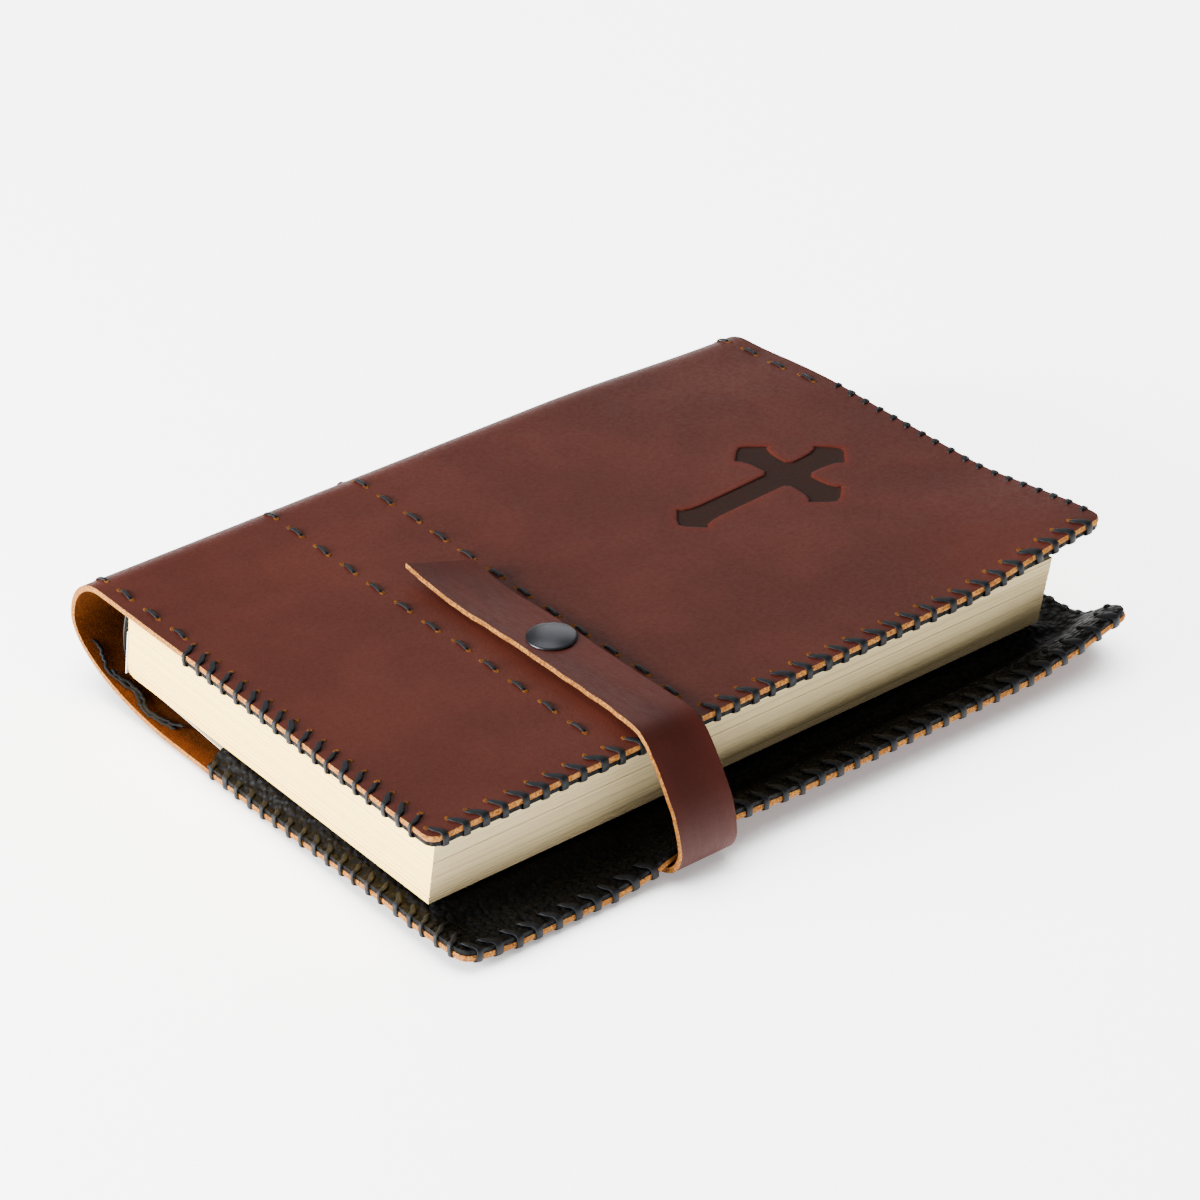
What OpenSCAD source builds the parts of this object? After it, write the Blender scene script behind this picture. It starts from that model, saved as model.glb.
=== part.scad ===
// Prayer book in a hand-stitched leather slip cover with a snap strap.
// +X runs from the spine to the fore-edge, +Y from tail to head, +Z up.
// The origin is the centre of the footprint, on the surface that the book lies on.

/* [Leaves] */
// Width of a leaf, from spine to fore-edge
leaf_w = 152; // [110:1:190]
// Height of a leaf, from tail to head
leaf_h = 229; // [170:1:270]
// Thickness of all the leaves together
block_t = 25; // [20:0.5:40]
// How far the top leaf has slid towards the fore-edge past the bottom leaf
block_lean = 5; // [0:0.5:8]
// Thickness of the book's own card cover
card_t = 0.4; // [0.3:0.05:0.6]
// Thickness of the glue on the spine
glue_t = 0.5; // [0.3:0.1:1]

/* [Leather cover] */
// Thickness of the cover leather
leather_t = 2.2; // [1.6:0.1:3]
// Thickness of the pocket leather
lining_t = 1.4; // [0.8:0.1:2]
// Cover past the leaves at the tail
tail_over = 5; // [3:0.5:12]
// Cover past the leaves at the head
head_over = 15; // [4:0.5:20]
// Front panel past the top leaf at the fore-edge
front_over = 5; // [3:0.5:12]
// Back panel past the bottom leaf at the fore-edge
back_over = 23.5; // [14:0.5:30]
// Radius of the panels' corners
corner_r = 5; // [2:0.5:10]
// How far the spine bends out past the leaves
spine_out = 21; // [16:0.5:28]
// Length of flat cover that the lower half of the spine bend takes
spine_sweep = 50; // [40:1:60]
// Air left under the bottom leaf where the soft cover sags
sag_gap = 1.3; // [0.2:0.1:3]
// Rim of the back panel, raised so that its stitches clear the table
rim_lift = 0.8; // [0.7:0.1:1.5]
// Width of that rim
rim_w = 7; // [6:0.5:12]

/* [Pockets] */
// Mouth of the front pocket, from the spine edge of the leaves
front_mouth = 42; // [25:1:70]
// Mouth of the back pocket, from the spine edge of the leaves
back_mouth = 50; // [25:1:70]

/* [Stitches] */
// Thickness of the flat waxed thread
thread_t = 0.6; // [0.4:0.1:0.7]
// Width of the thread
thread_w = 1.2; // [0.8:0.1:2]
// Spacing of the stitches whipped round the edges
whip_pitch = 7; // [5:0.25:12]
// Distance from the edge to the whipstitch holes
whip_in = 5; // [3:0.25:6]
// Spacing of the running stitches
run_pitch = 13.8; // [9:0.1:20]
// Length of one running stitch
run_len = 7; // [4:0.5:8]
// Middle between the two rows of running stitches, from the tail edge of the leaves
row_mid = 74.75; // [45:0.25:185]
// Distance from there to each row
row_off = 15.75; // [13:0.25:22]

/* [Strap] */
// Least room between the back panel's fore-edge and the outside of the strap
strap_out = 6.5; // [5:0.5:10]
// Width of the strap
strap_w = 20; // [14:0.5:24]
// Thickness of the strap leather
strap_t = 2.2; // [1.6:0.1:3]
// Middle of the strap, from the tail edge of the leaves
strap_y = 78; // [50:1:180]
// Outer radius of the strap's lower bend
low_bend_r = 12.5; // [9:0.1:14]
// Outer radius of the strap's upper bend
top_bend_r = 14; // [10:0.5:18]
// Slope of the strap between its bends, from the table
strap_slope = 60; // [55:0.5:66]
// Length of strap sewn under the back panel
strap_tail_l = 70; // [30:1:110]
// Strap past the middle of the snap, to its longest corner
strap_tip_l = 58; // [30:1:70]
// Length that the slanted cut takes off the other corner
strap_cut = 11; // [0:0.5:18]

/* [Snap] */
// Diameter of the snap's cap
cap_d = 15; // [12:0.5:18]
// Height of the domed cap
cap_h = 1.8; // [1.2:0.1:2.5]
// Distance of the snap's middle from the front panel's fore-edge
snap_in = 55; // [35:1:80]
// Diameter of the snap's socket and of the stud's foot
socket_d = 12; // [9:0.5:13]
// Gap that the closed snap holds between the strap and the cover
snap_gap = 1.6; // [1.4:0.1:2.5]
// Diameter of the stud's head
stud_d = 5; // [4:0.1:6]
// Play around the stud's head
stud_play = 0.3; // [0.2:0.05:0.5]

/* [Cross] */
// Length of the pressed cross, foot to head
cross_l = 68; // [40:1:90]
// Width across the arms
cross_w = 44; // [28:1:60]
// Width of the stem and arms where they are thinnest
cross_stem = 8.5; // [5:0.5:12]
// Depth of the pressed cross
cross_depth = 0.3; // [0.1:0.05:0.6]

/* [Hidden] */

fit = 0.1;             // room between pieces that lie on each other
body_gap = 0.3;        // room between pieces that move apart
notch_play = 1;        // room beside the strap in its notch
strap_clear = 0.2;     // the strap lies this far above the table
riser_lap = 0.2;       // the strap's free part begins this far inside its channel
edge_play = 0.5;       // least room between the strap and the front panel's stitches
tiny = 0.01;

// heights, from the table up
channel_h = strap_t + 0.3;
lid_top = channel_h + leather_t;
back_card_z = lid_top + thread_t + fit;
back_lining_z = back_card_z + card_t + fit;
block_z = back_lining_z + lining_t + sag_gap;
spine_foot_z = block_z - sag_gap / 2;   // the card cover turns under the leaves here
block_top = block_z + block_t;
front_lining_z = block_top + body_gap;
front_card_z = front_lining_z + lining_t + fit;
front_z = front_card_z + card_t + fit;
cover_top = front_z + leather_t;
tongue_z = cover_top + snap_gap;
tongue_top = tongue_z + strap_t;

// plan, from the spine and tail edges of the bottom leaf
tail_y = -tail_over;
head_y = leaf_h + head_over;
front_x = leaf_w + block_lean + front_over;
back_x = leaf_w + back_over;
snap_x = front_x - snap_in;
notch_x = back_x - rim_w - 2 * lining_t;   // the strap's notch in the rim begins here
riser_x = notch_x - riser_lap;             // the strap's free part begins here
channel_x = back_x - strap_tail_l - rim_w; // the channel over the strap's tail begins here
hinge_x = -4;          // the leather bends here when the front opens
hinge_z = cover_top - leather_t / 2;
front_start = 2;       // the front panel begins here
back_start = 12;       // the back panel begins here

// spine bend: a round shoulder above a longer elliptical sweep
shoulder_x = hinge_x + 1;
shoulder_r = spine_out + shoulder_x;
bend_z = cover_top - shoulder_r;
sweep_x = spine_sweep - spine_out;

// strap bends
low_z = low_bend_r + strap_clear;
bend_a = 90 - strap_slope;      // both bends meet the slope at this angle
slope_h = tongue_top - top_bend_r * (1 - sin(bend_a)) - low_z - low_bend_r * sin(bend_a);
slope_l = slope_h / sin(strap_slope);
bend_gap_x = (low_bend_r - top_bend_r) * cos(bend_a) - slope_l * cos(strap_slope);   // from the lower bend to the upper
top_reach = sqrt(pow(top_bend_r - strap_t, 2) - pow(top_bend_r - strap_t - snap_gap + thread_t, 2));
// the strap stands further out when its upper bend would meet the front panel's stitches
low_x = max(back_x + strap_out - low_bend_r, front_x + thread_t + edge_play - top_reach - bend_gap_x);
top_x = low_x + bend_gap_x;
strap_y0 = strap_y - strap_w / 2;

// leaf sections: thickness of each, from the top
section_t = [1, 1.5, 2.4, 3.6];
section_gap = 0.1;
function section_top(i) = i == 0 ? block_top : section_top(i - 1) - section_t[i - 1] - section_gap;

// footprint middle: from the spine bend to the strap's lower bend, tail to head
mid_x = (low_x + low_bend_r - spine_out) / 2;
mid_y = (tail_y + head_y) / 2;

hide = "#6d3d34";
strap_hide = "#573631";
black_hide = "#1c1c1d";
thread = "#23262b";
paper = "#f1e3c0";
card = "#151516";
metal = "#5d6166";

module place() { translate([-mid_x, -mid_y, 0]) children(); }

// a section drawn in x and z, run from y0 to y1
module along_y(y0, y1) {
    translate([0, y1, 0]) rotate([90, 0, 0]) linear_extrude(y1 - y0) children();
}

function lean(z) = block_lean * (z - block_z) / block_t;

// leaves between two heights, with the lean of the stack
module leaves(z0, z1) {
    along_y(0, leaf_h)
        polygon([[lean(z0), z0], [leaf_w + lean(z0), z0], [leaf_w + lean(z1), z1], [lean(z1), z1]]);
}

// a flat panel with its two fore-edge corners rounded
module panel_2d(x0, x1, y0 = tail_y, y1 = head_y, r = corner_r) {
    translate([x0, y0]) square([x1 - x0 - r, y1 - y0]);
    translate([x0, y0 + r]) square([x1 - x0, y1 - y0 - 2 * r]);
    for (y = [y0 + r, y1 - r]) translate([x1 - r, y]) circle(r, $fn = 48);
}

// points of the spine bend, t = 0 outside and t = leather_t inside
function shoulder(t) = [for (a = [90:7.5:180])
    [shoulder_x + (shoulder_r - t) * cos(a), bend_z + (shoulder_r - t) * sin(a)]];
function sweep_end() = acos((back_start - sweep_x) / spine_sweep);
function sweep(t) = [for (i = [1:16]) let (a = 180 + i * (360 - sweep_end() - 180) / 16)
    let (n = [cos(a) / spine_sweep, sin(a) / bend_z])
    [sweep_x + spine_sweep * cos(a), bend_z + bend_z * sin(a)] - t * n / norm(n)];
function bend(t) = concat([[front_start - tiny, cover_top - t]], shoulder(t), sweep(t));
function reverse(p) = [for (i = [len(p) - 1:-1:0]) p[i]];

// one stitch round an edge: over, down and under, drawn along -X from the edge at x = 0
module whip(z0, z1) {
    for (z = [z0 - thread_t, z1]) translate([-whip_in, -thread_w / 2, z])
        cube([whip_in + thread_t, thread_w, thread_t]);
    translate([0, -thread_w / 2, z0 - thread_t]) cube([thread_t, thread_w, z1 - z0 + 2 * thread_t]);
}

// whipstitches round the tail, fore-edge and head of a panel
module whip_row(x0, x1, z0, z1, skip_y0 = 0, skip_y1 = 0) {
    side_n = floor((x1 - corner_r - x0) / whip_pitch);
    for (i = [0:side_n]) let (x = x1 - corner_r - i * whip_pitch) {
        translate([x, tail_y, 0]) rotate([0, 0, -90]) whip(z0, z1);
        translate([x, head_y, 0]) rotate([0, 0, 90]) whip(z0, z1);
    }
    run = head_y - tail_y - 2 * corner_r;
    fore_n = floor(run / whip_pitch);
    for (i = [0:fore_n]) let (y = tail_y + corner_r + (run - fore_n * whip_pitch) / 2 + i * whip_pitch)
        if (y < skip_y0 || y > skip_y1) translate([x1, y, 0]) whip(z0, z1);
}

// running stitches on top of the cover, from x0 to x1
module run_row(x0, x1, y) {
    for (x = [x0:run_pitch:x1 - run_len])
        translate([x, y - thread_w / 2, cover_top]) cube([run_len, thread_w, thread_t]);
}

// running stitch lying on the spine's shoulder, at angle a
module shoulder_stitch(a, y) {
    translate([shoulder_x, y - thread_w / 2, bend_z]) rotate([0, -a, 0])
        translate([shoulder_r, 0, -run_len / 2]) cube([thread_t, thread_w, run_len]);
}

edge_rows = [tail_y + whip_in, head_y - whip_in];
strap_rows = [row_mid - row_off, row_mid + row_off];

// gap in the back panel's rim where the strap comes up round it
module strap_notch() {
    translate([notch_x, strap_y0 - notch_play, -1])
        cube([back_x - notch_x + 1, strap_w + 2 * notch_play, back_lining_z + lining_t + 2]);
}

// the back panel's outline inside its raised rim
module inside_rim_2d(x0) { panel_2d(x0, back_x - rim_w, tail_y + rim_w, head_y - rim_w, 1); }

// ---- cover, back half ----

module back_leather() {
    color(hide) place() difference() {
        union() {
            linear_extrude(leather_t) inside_rim_2d(back_start);
            translate([0, 0, rim_lift]) linear_extrude(leather_t) difference() {
                panel_2d(back_start, back_x);
                translate([back_start - 1, tail_y + rim_w + 1])
                    square([back_x - rim_w - back_start, head_y - tail_y - 2 * rim_w - 2]);
            }
            translate([channel_x - leather_t, strap_y0 - leather_t - fit, 0])
                cube([notch_x - channel_x + leather_t, strap_w + 2 * leather_t + 2 * fit, lid_top]);
        }
        translate([channel_x, strap_y0 - fit, -1])
            cube([notch_x - channel_x + 1, strap_w + 2 * fit, channel_h + 1]);
        strap_notch();
    }
}

module spine_leather() {
    color(hide) place() difference() {
        along_y(tail_y, head_y) polygon(concat(bend(0), reverse(bend(leather_t))));
        translate([back_start, tail_y - 1, -1])
            cube([leather_t, head_y - tail_y + 2, bend_z]);
    }
}

module back_lining() {
    color(black_hide) place() difference() {
        union() {
            translate([0, 0, rim_lift + leather_t]) linear_extrude(lining_t)
                panel_2d(back_mouth, back_x);
            translate([0, 0, rim_lift + leather_t])
                linear_extrude(back_lining_z + lining_t - rim_lift - leather_t)
                inside_rim_2d(back_mouth);
        }
        translate([back_mouth - 1, tail_y + rim_w + lining_t, 0])
            cube([back_x - rim_w - lining_t - back_mouth + 1,
                  head_y - tail_y - 2 * rim_w - 2 * lining_t, back_lining_z]);
        translate([back_mouth - 1, -fit, rim_lift + leather_t + lining_t])
            cube([leaf_w - back_mouth + 1 + fit, leaf_h + 2 * fit,
                  back_lining_z - rim_lift - leather_t - lining_t]);
        strap_notch();
    }
}

module back_whipstitch() {
    color(thread) place() whip_row(back_mouth, back_x, rim_lift, rim_lift + leather_t + lining_t,
        strap_y0 - notch_play - thread_w, strap_y0 + strap_w + notch_play + thread_w);
}

module spine_stitches() {
    color(thread) place() {
        for (y = concat(edge_rows, strap_rows), a = [98, 140, 176]) shoulder_stitch(a, y);
    }
}

// ---- book ----

module back_card() {
    x0 = -glue_t - card_t;
    color(card) place() along_y(0, leaf_h) polygon([[x0, spine_foot_z - card_t], [back_start, back_card_z],
        [leaf_w, back_card_z], [leaf_w, back_card_z + card_t], [back_start, back_card_z + card_t],
        [x0, spine_foot_z]]);
}

module spine_strip(x0, x1, z0, z1) {
    along_y(0, leaf_h)
        polygon([[x0 + lean(z0), z0], [x1 + lean(z0), z0], [x1 + lean(z1), z1], [x0 + lean(z1), z1]]);
}

module spine_card() {
    color(card) place()
        spine_strip(-glue_t - card_t, -glue_t, spine_foot_z, front_card_z - body_gap);
}

module spine_glue() {
    color("#e9e4d2") place()
        spine_strip(-glue_t, 0, block_z, section_top(4));
}

module text_block() {
    color(paper) place() leaves(block_z, section_top(4));
}

module leaf_section(i) {
    color(paper) place() leaves(section_top(i) - section_t[i], section_top(i));
}

// ---- front ----

module cross_2d() {
    flare = cross_stem * 0.82;
    head = cross_w / 2 + 1;
    for (a = [0:90:270]) let (l = a == 180 ? cross_l - head : a == 0 ? head : cross_w / 2)
        rotate(a) polygon([[-cross_stem / 2, 0], [-cross_stem / 2, l - cross_stem * 1.5],
            [-flare, l - cross_stem * 0.6], [0, l], [flare, l - cross_stem * 0.6],
            [cross_stem / 2, l - cross_stem * 1.5], [cross_stem / 2, 0]]);
}

module front_leather() {
    color(hide) place() difference() {
        translate([0, 0, front_z]) linear_extrude(leather_t) panel_2d(front_start, front_x);
        translate([leaf_w * 0.49, leaf_h * 0.853, cover_top - cross_depth])
            linear_extrude(1) rotate(3) cross_2d();
        translate([snap_x, strap_y, front_z - 1]) cylinder(d = stud_d - 1, h = leather_t + 2, $fn = 48);
        translate([snap_x, strap_y, front_z - 1]) cylinder(d = socket_d - 2, h = 1 + 0.4, $fn = 48);
    }
}

module front_lining() {
    color(black_hide) place() difference() {
        union() {
            translate([0, 0, front_z - lining_t]) linear_extrude(lining_t)
                panel_2d(front_mouth, front_x);
            translate([0, 0, front_lining_z]) linear_extrude(front_z - front_lining_z)
                panel_2d(front_mouth, front_x - rim_w, tail_y + rim_w, head_y - rim_w, 1);
        }
        translate([front_mouth - 1, tail_y + rim_w + lining_t, front_lining_z + lining_t])
            cube([front_x - rim_w - lining_t - front_mouth + 1,
                  head_y - tail_y - 2 * rim_w - 2 * lining_t, 10]);
        translate([front_mouth - 1, 0 - fit, front_lining_z + lining_t])
            cube([leaf_w + block_lean - front_mouth + 1 + fit, leaf_h + 2 * fit, 10]);
    }
}

module front_card() {
    color(card) place() translate([block_lean, 0, front_card_z])
        cube([leaf_w - fit, leaf_h, card_t]);
}

module front_whipstitch() {
    color(thread) place() whip_row(front_mouth, front_x, front_z - lining_t, cover_top);
}

module front_running_stitches() {
    color(thread) place() {
        for (y = strap_rows) run_row(front_start + 3, front_x - whip_in, y);
        for (y = edge_rows) run_row(front_start + 5, front_mouth - 3, y);
    }
}

module snap_stud() {
    color(metal) place() translate([snap_x, strap_y, 0]) {
        translate([0, 0, cover_top]) cylinder(d = socket_d - 1, h = 0.6, $fn = 64);
        translate([0, 0, front_z + 0.4]) cylinder(d = stud_d - 1.2, h = tongue_z - front_z - 0.4, $fn = 48);
        translate([0, 0, tongue_z - 0.2]) cylinder(d1 = stud_d - 1.2, d2 = stud_d, h = 0.5, $fn = 48);
        translate([0, 0, tongue_z + 0.3]) cylinder(d1 = stud_d, d2 = stud_d - 2, h = 0.7, $fn = 48);
    }
}

module snap_eyelet() {
    color(metal) place() translate([snap_x, strap_y, front_z])
        cylinder(d = socket_d - 2.4, h = 0.4, $fn = 64);
}

// ---- strap ----

function ring(cx, cz, r, a0, a1, n) = [for (i = [0:n]) let (a = a0 + i * (a1 - a0) / n)
    [cx + r * cos(a), cz + r * sin(a)]];

// section of the strap between its sewn tail and the start of its upper bend
function riser_pts(t) = concat([[riser_x, low_z - low_bend_r + t]],
    ring(low_x, low_z, low_bend_r - t, -90, bend_a, 16),
    [[top_x + (top_bend_r - t) * cos(bend_a), tongue_top - top_bend_r + (top_bend_r - t) * sin(bend_a)]]);

function tongue_pts(t) = concat(ring(top_x, tongue_top - top_bend_r, top_bend_r - t, bend_a, 90, 10),
    [[snap_x - strap_tip_l, tongue_top - t]]);

module strap_tail() {
    color(strap_hide) place()
        translate([channel_x + fit, strap_y0, low_z - low_bend_r])
        cube([riser_x - channel_x - fit, strap_w, strap_t]);
}

module strap_stitches() {
    color(thread) place() for (x = [3:run_pitch:notch_x - channel_x - run_len - 3], s = [-1, 1])
        translate([channel_x + x, strap_y + s * (strap_w / 2 - 3) - thread_w / 2, lid_top])
            cube([run_len, thread_w, thread_t]);
}

module strap_riser() {
    color(strap_hide) place() along_y(strap_y0, strap_y0 + strap_w)
        polygon(concat(riser_pts(0), reverse(riser_pts(strap_t))));
}

module strap_tongue() {
    color(strap_hide) place() difference() {
        along_y(strap_y0, strap_y0 + strap_w) polygon(concat(tongue_pts(0), reverse(tongue_pts(strap_t))));
        translate([snap_x - strap_tip_l, 0, tongue_z - 1]) linear_extrude(strap_t + 2)
            polygon([[-1, strap_y0], [0, strap_y0], [strap_cut, strap_y0 + strap_w + tiny],
                     [-1, strap_y0 + strap_w + tiny]]);
        translate([snap_x, strap_y, tongue_z - 1])
            cylinder(d = stud_d + 2 * stud_play, h = strap_t + 2, $fn = 48);
    }
}

module snap_cap() {
    dome_r = (pow(cap_d / 2, 2) + pow(cap_h - 0.6, 2)) / (2 * (cap_h - 0.6));
    color(metal) place() translate([snap_x, strap_y, tongue_top]) {
        cylinder(d = cap_d, h = 0.6, $fn = 96);
        intersection() {
            translate([0, 0, 0.6]) cylinder(d = cap_d, h = cap_h, $fn = 96);
            translate([0, 0, cap_h - dome_r]) sphere(dome_r, $fn = 200);
        }
    }
}

module snap_socket() {
    color(metal) place() translate([snap_x, strap_y, cover_top + 0.6 + fit]) difference() {
        cylinder(d = socket_d, h = snap_gap - 0.6 - fit, $fn = 64);
        translate([0, 0, -1]) cylinder(d = stud_d + 2 * stud_play, h = 4, $fn = 48);
    }
}

back_leather();
spine_leather();
back_lining();
back_card();
spine_card();
spine_glue();
text_block();
back_whipstitch();
spine_stitches();
strap_tail();
strap_stitches();
front_leather();
front_lining();
front_card();
front_whipstitch();
front_running_stitches();
snap_stud();
snap_eyelet();
leaf_section(0);  // leaf_section_1
leaf_section(1);  // leaf_section_2
leaf_section(2);  // leaf_section_3
leaf_section(3);  // leaf_section_4
strap_riser();
strap_tongue();
snap_cap();
snap_socket();
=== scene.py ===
"""Prayer book in a hand-stitched leather slip cover with a snap strap."""

import logging
import math
from dataclasses import dataclass, field
from enum import Enum
from typing import Callable, ClassVar, Iterable, Sequence

import bmesh
import bpy
import numpy as np
from mathutils import Matrix, Vector


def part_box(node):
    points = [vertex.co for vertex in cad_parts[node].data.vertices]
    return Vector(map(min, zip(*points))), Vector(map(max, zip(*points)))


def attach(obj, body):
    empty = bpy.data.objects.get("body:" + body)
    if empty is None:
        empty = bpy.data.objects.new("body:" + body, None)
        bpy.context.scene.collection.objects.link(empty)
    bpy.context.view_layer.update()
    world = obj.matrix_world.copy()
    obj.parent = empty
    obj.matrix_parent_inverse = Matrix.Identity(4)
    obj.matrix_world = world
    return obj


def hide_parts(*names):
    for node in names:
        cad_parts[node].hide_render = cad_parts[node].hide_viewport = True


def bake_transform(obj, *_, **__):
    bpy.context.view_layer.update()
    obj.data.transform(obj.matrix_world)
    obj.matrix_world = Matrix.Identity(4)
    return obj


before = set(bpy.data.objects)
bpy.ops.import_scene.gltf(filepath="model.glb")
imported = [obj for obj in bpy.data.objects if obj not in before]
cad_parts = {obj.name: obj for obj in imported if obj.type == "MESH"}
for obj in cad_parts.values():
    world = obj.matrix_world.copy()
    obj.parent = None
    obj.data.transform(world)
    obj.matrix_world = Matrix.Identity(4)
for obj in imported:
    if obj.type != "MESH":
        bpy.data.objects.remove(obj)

Tree, Node, Socket = bpy.types.NodeTree, bpy.types.Node, bpy.types.NodeSocket
Shape = tuple[np.ndarray, list]

LOG = logging.getLogger("prayer_book")
FAR = 50.0
ROOT, FRONT, RISER, TONGUE = "cover_and_block", "front", "strap_riser", "strap_tongue"


# ---------------------------------------------------------------- sizes


@dataclass(frozen=True)
class Sizes:
    """Real sizes in mm, from the spine edge, the tail edge and the table."""

    leaf_w: float = 152.0
    leaf_h: float = 229.0
    block_z: float = 8.6
    block_top: float = 33.6
    fixed_top: float = 24.7
    lean: float = 5.0
    leather: float = 1.85
    lining: float = 1.65
    tail_y: float = -5.0
    head_y: float = 244.0
    front_x: float = 162.0
    back_x: float = 175.5
    corner: float = 3.6
    shoulder_x: float = -3.0
    shoulder_r: float = 18.0
    sweep_x: float = 29.0
    sweep_a: float = 50.0
    bend_z: float = 20.1
    front_mouth: float = 42.0
    back_mouth: float = 50.0
    pocket_z: float = 5.9
    front_card_z: float = 35.4
    card: float = 0.4
    strap_y: float = 78.0
    strap_w: float = 20.0
    snap_x: float = 107.0
    thread_w: float = 1.3
    thread_t: float = 0.62
    section_tops: tuple[float, ...] = (33.6, 32.5, 30.9, 28.4)
    section_t: tuple[float, ...] = (1.0, 1.5, 2.4, 3.6)
    run_step: float = 13.8
    run_len: float = 6.2
    snap_r: float = 7.5
    snap_z: float = 41.95
    whips: tuple[tuple[float, float, float], ...] = ((3.1, 1.9, 5.0), (2.4, 2.4, 5.0), (1.2, 1.9, 2.6))


S = Sizes()


class Layout:
    """Turns design millimetres into metres of the row frame."""

    def __init__(self) -> None:
        """Reads where the text block lies in the frame."""
        low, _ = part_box("text_block")
        self.origin = np.array([low[0], low[1], low[2] - S.block_z / 1000.0])

    def place(self, points: Iterable) -> np.ndarray:
        """Design mm to row-frame metres, for an array of points."""
        return np.asarray(points, float) / 1000.0 + self.origin

    def at(self, x: float, y: float, z: float) -> tuple[float, float, float]:
        """One design point in row-frame metres."""
        return tuple(float(v) for v in self.place([x, y, z]))


LAYOUT = Layout()


def smooth(value: np.ndarray | float) -> np.ndarray | float:
    """Smoothstep of a value, held between 0 and 1."""
    t = np.clip(value, 0.0, 1.0)
    return t * t * (3.0 - 2.0 * t)


def unit(v: np.ndarray) -> np.ndarray:
    """Vectors brought to length 1."""
    return v / np.linalg.norm(v, axis=-1)[..., None]


def waves(x: np.ndarray, y: np.ndarray, seed: int, length: float, count: int = 5) -> np.ndarray:
    """Smooth random waviness between about -1 and 1.

    Args:
        x: First coordinates in mm.
        y: Second coordinates in mm.
        seed: Seed of the directions and phases.
        length: Typical wavelength in mm.
        count: Number of waves added.

    Returns:
        The waviness at each point.
    """
    rng = np.random.default_rng(seed)
    total = np.zeros(np.broadcast(x, y).shape)
    for _ in range(count):
        turn, phase = rng.uniform(0, 2 * math.pi, 2)
        step = 2 * math.pi / (length * rng.uniform(0.7, 1.6))
        total = total + np.sin(step * (x * math.cos(turn) + y * math.sin(turn)) + phase)
    return total / count


def lines(start: float, end: float, step: float, fine: tuple[float, float, float] | None = None) -> np.ndarray:
    """Grid lines from start to end, closer together in one stretch.

    Args:
        start: First line.
        end: Last line.
        step: Spacing.
        fine: From, to and spacing of the closer stretch.

    Returns:
        The sorted positions.
    """
    stretches = [(start, end, step)]
    if fine:
        stretches = [(start, fine[0], step), fine, (fine[1], end, step)]
    parts = [np.linspace(a, b, max(2, int(round((b - a) / s)) + 1)) for a, b, s in stretches]
    return np.unique(np.round(np.concatenate(parts), 4))


# ---------------------------------------------------------------- nodes and finishes


def linear(code: str) -> tuple[float, float, float, float]:
    """An sRGB hex colour as linear RGBA."""
    parts = [int(code[i : i + 2], 16) / 255.0 for i in (1, 3, 5)]
    return (*[c / 12.92 if c <= 0.04045 else ((c + 0.055) / 1.055) ** 2.4 for c in parts], 1.0)


def add_node(tree: Tree, kind: str, inputs: dict | None = None, **settings) -> Node:
    """Adds a node, sets its properties, and sets or links its inputs.

    Args:
        tree: The tree that it goes in.
        kind: The node's type.
        inputs: Input name or index to a value or another node's output.
        settings: Properties of the node.

    Returns:
        The node.
    """
    node = tree.nodes.new(kind)
    for key, value in settings.items():
        setattr(node, key, value)
    for key, value in (inputs or {}).items():
        if isinstance(value, Socket):
            tree.links.new(value, node.inputs[key])
        else:
            node.inputs[key].default_value = value
    return node


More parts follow.
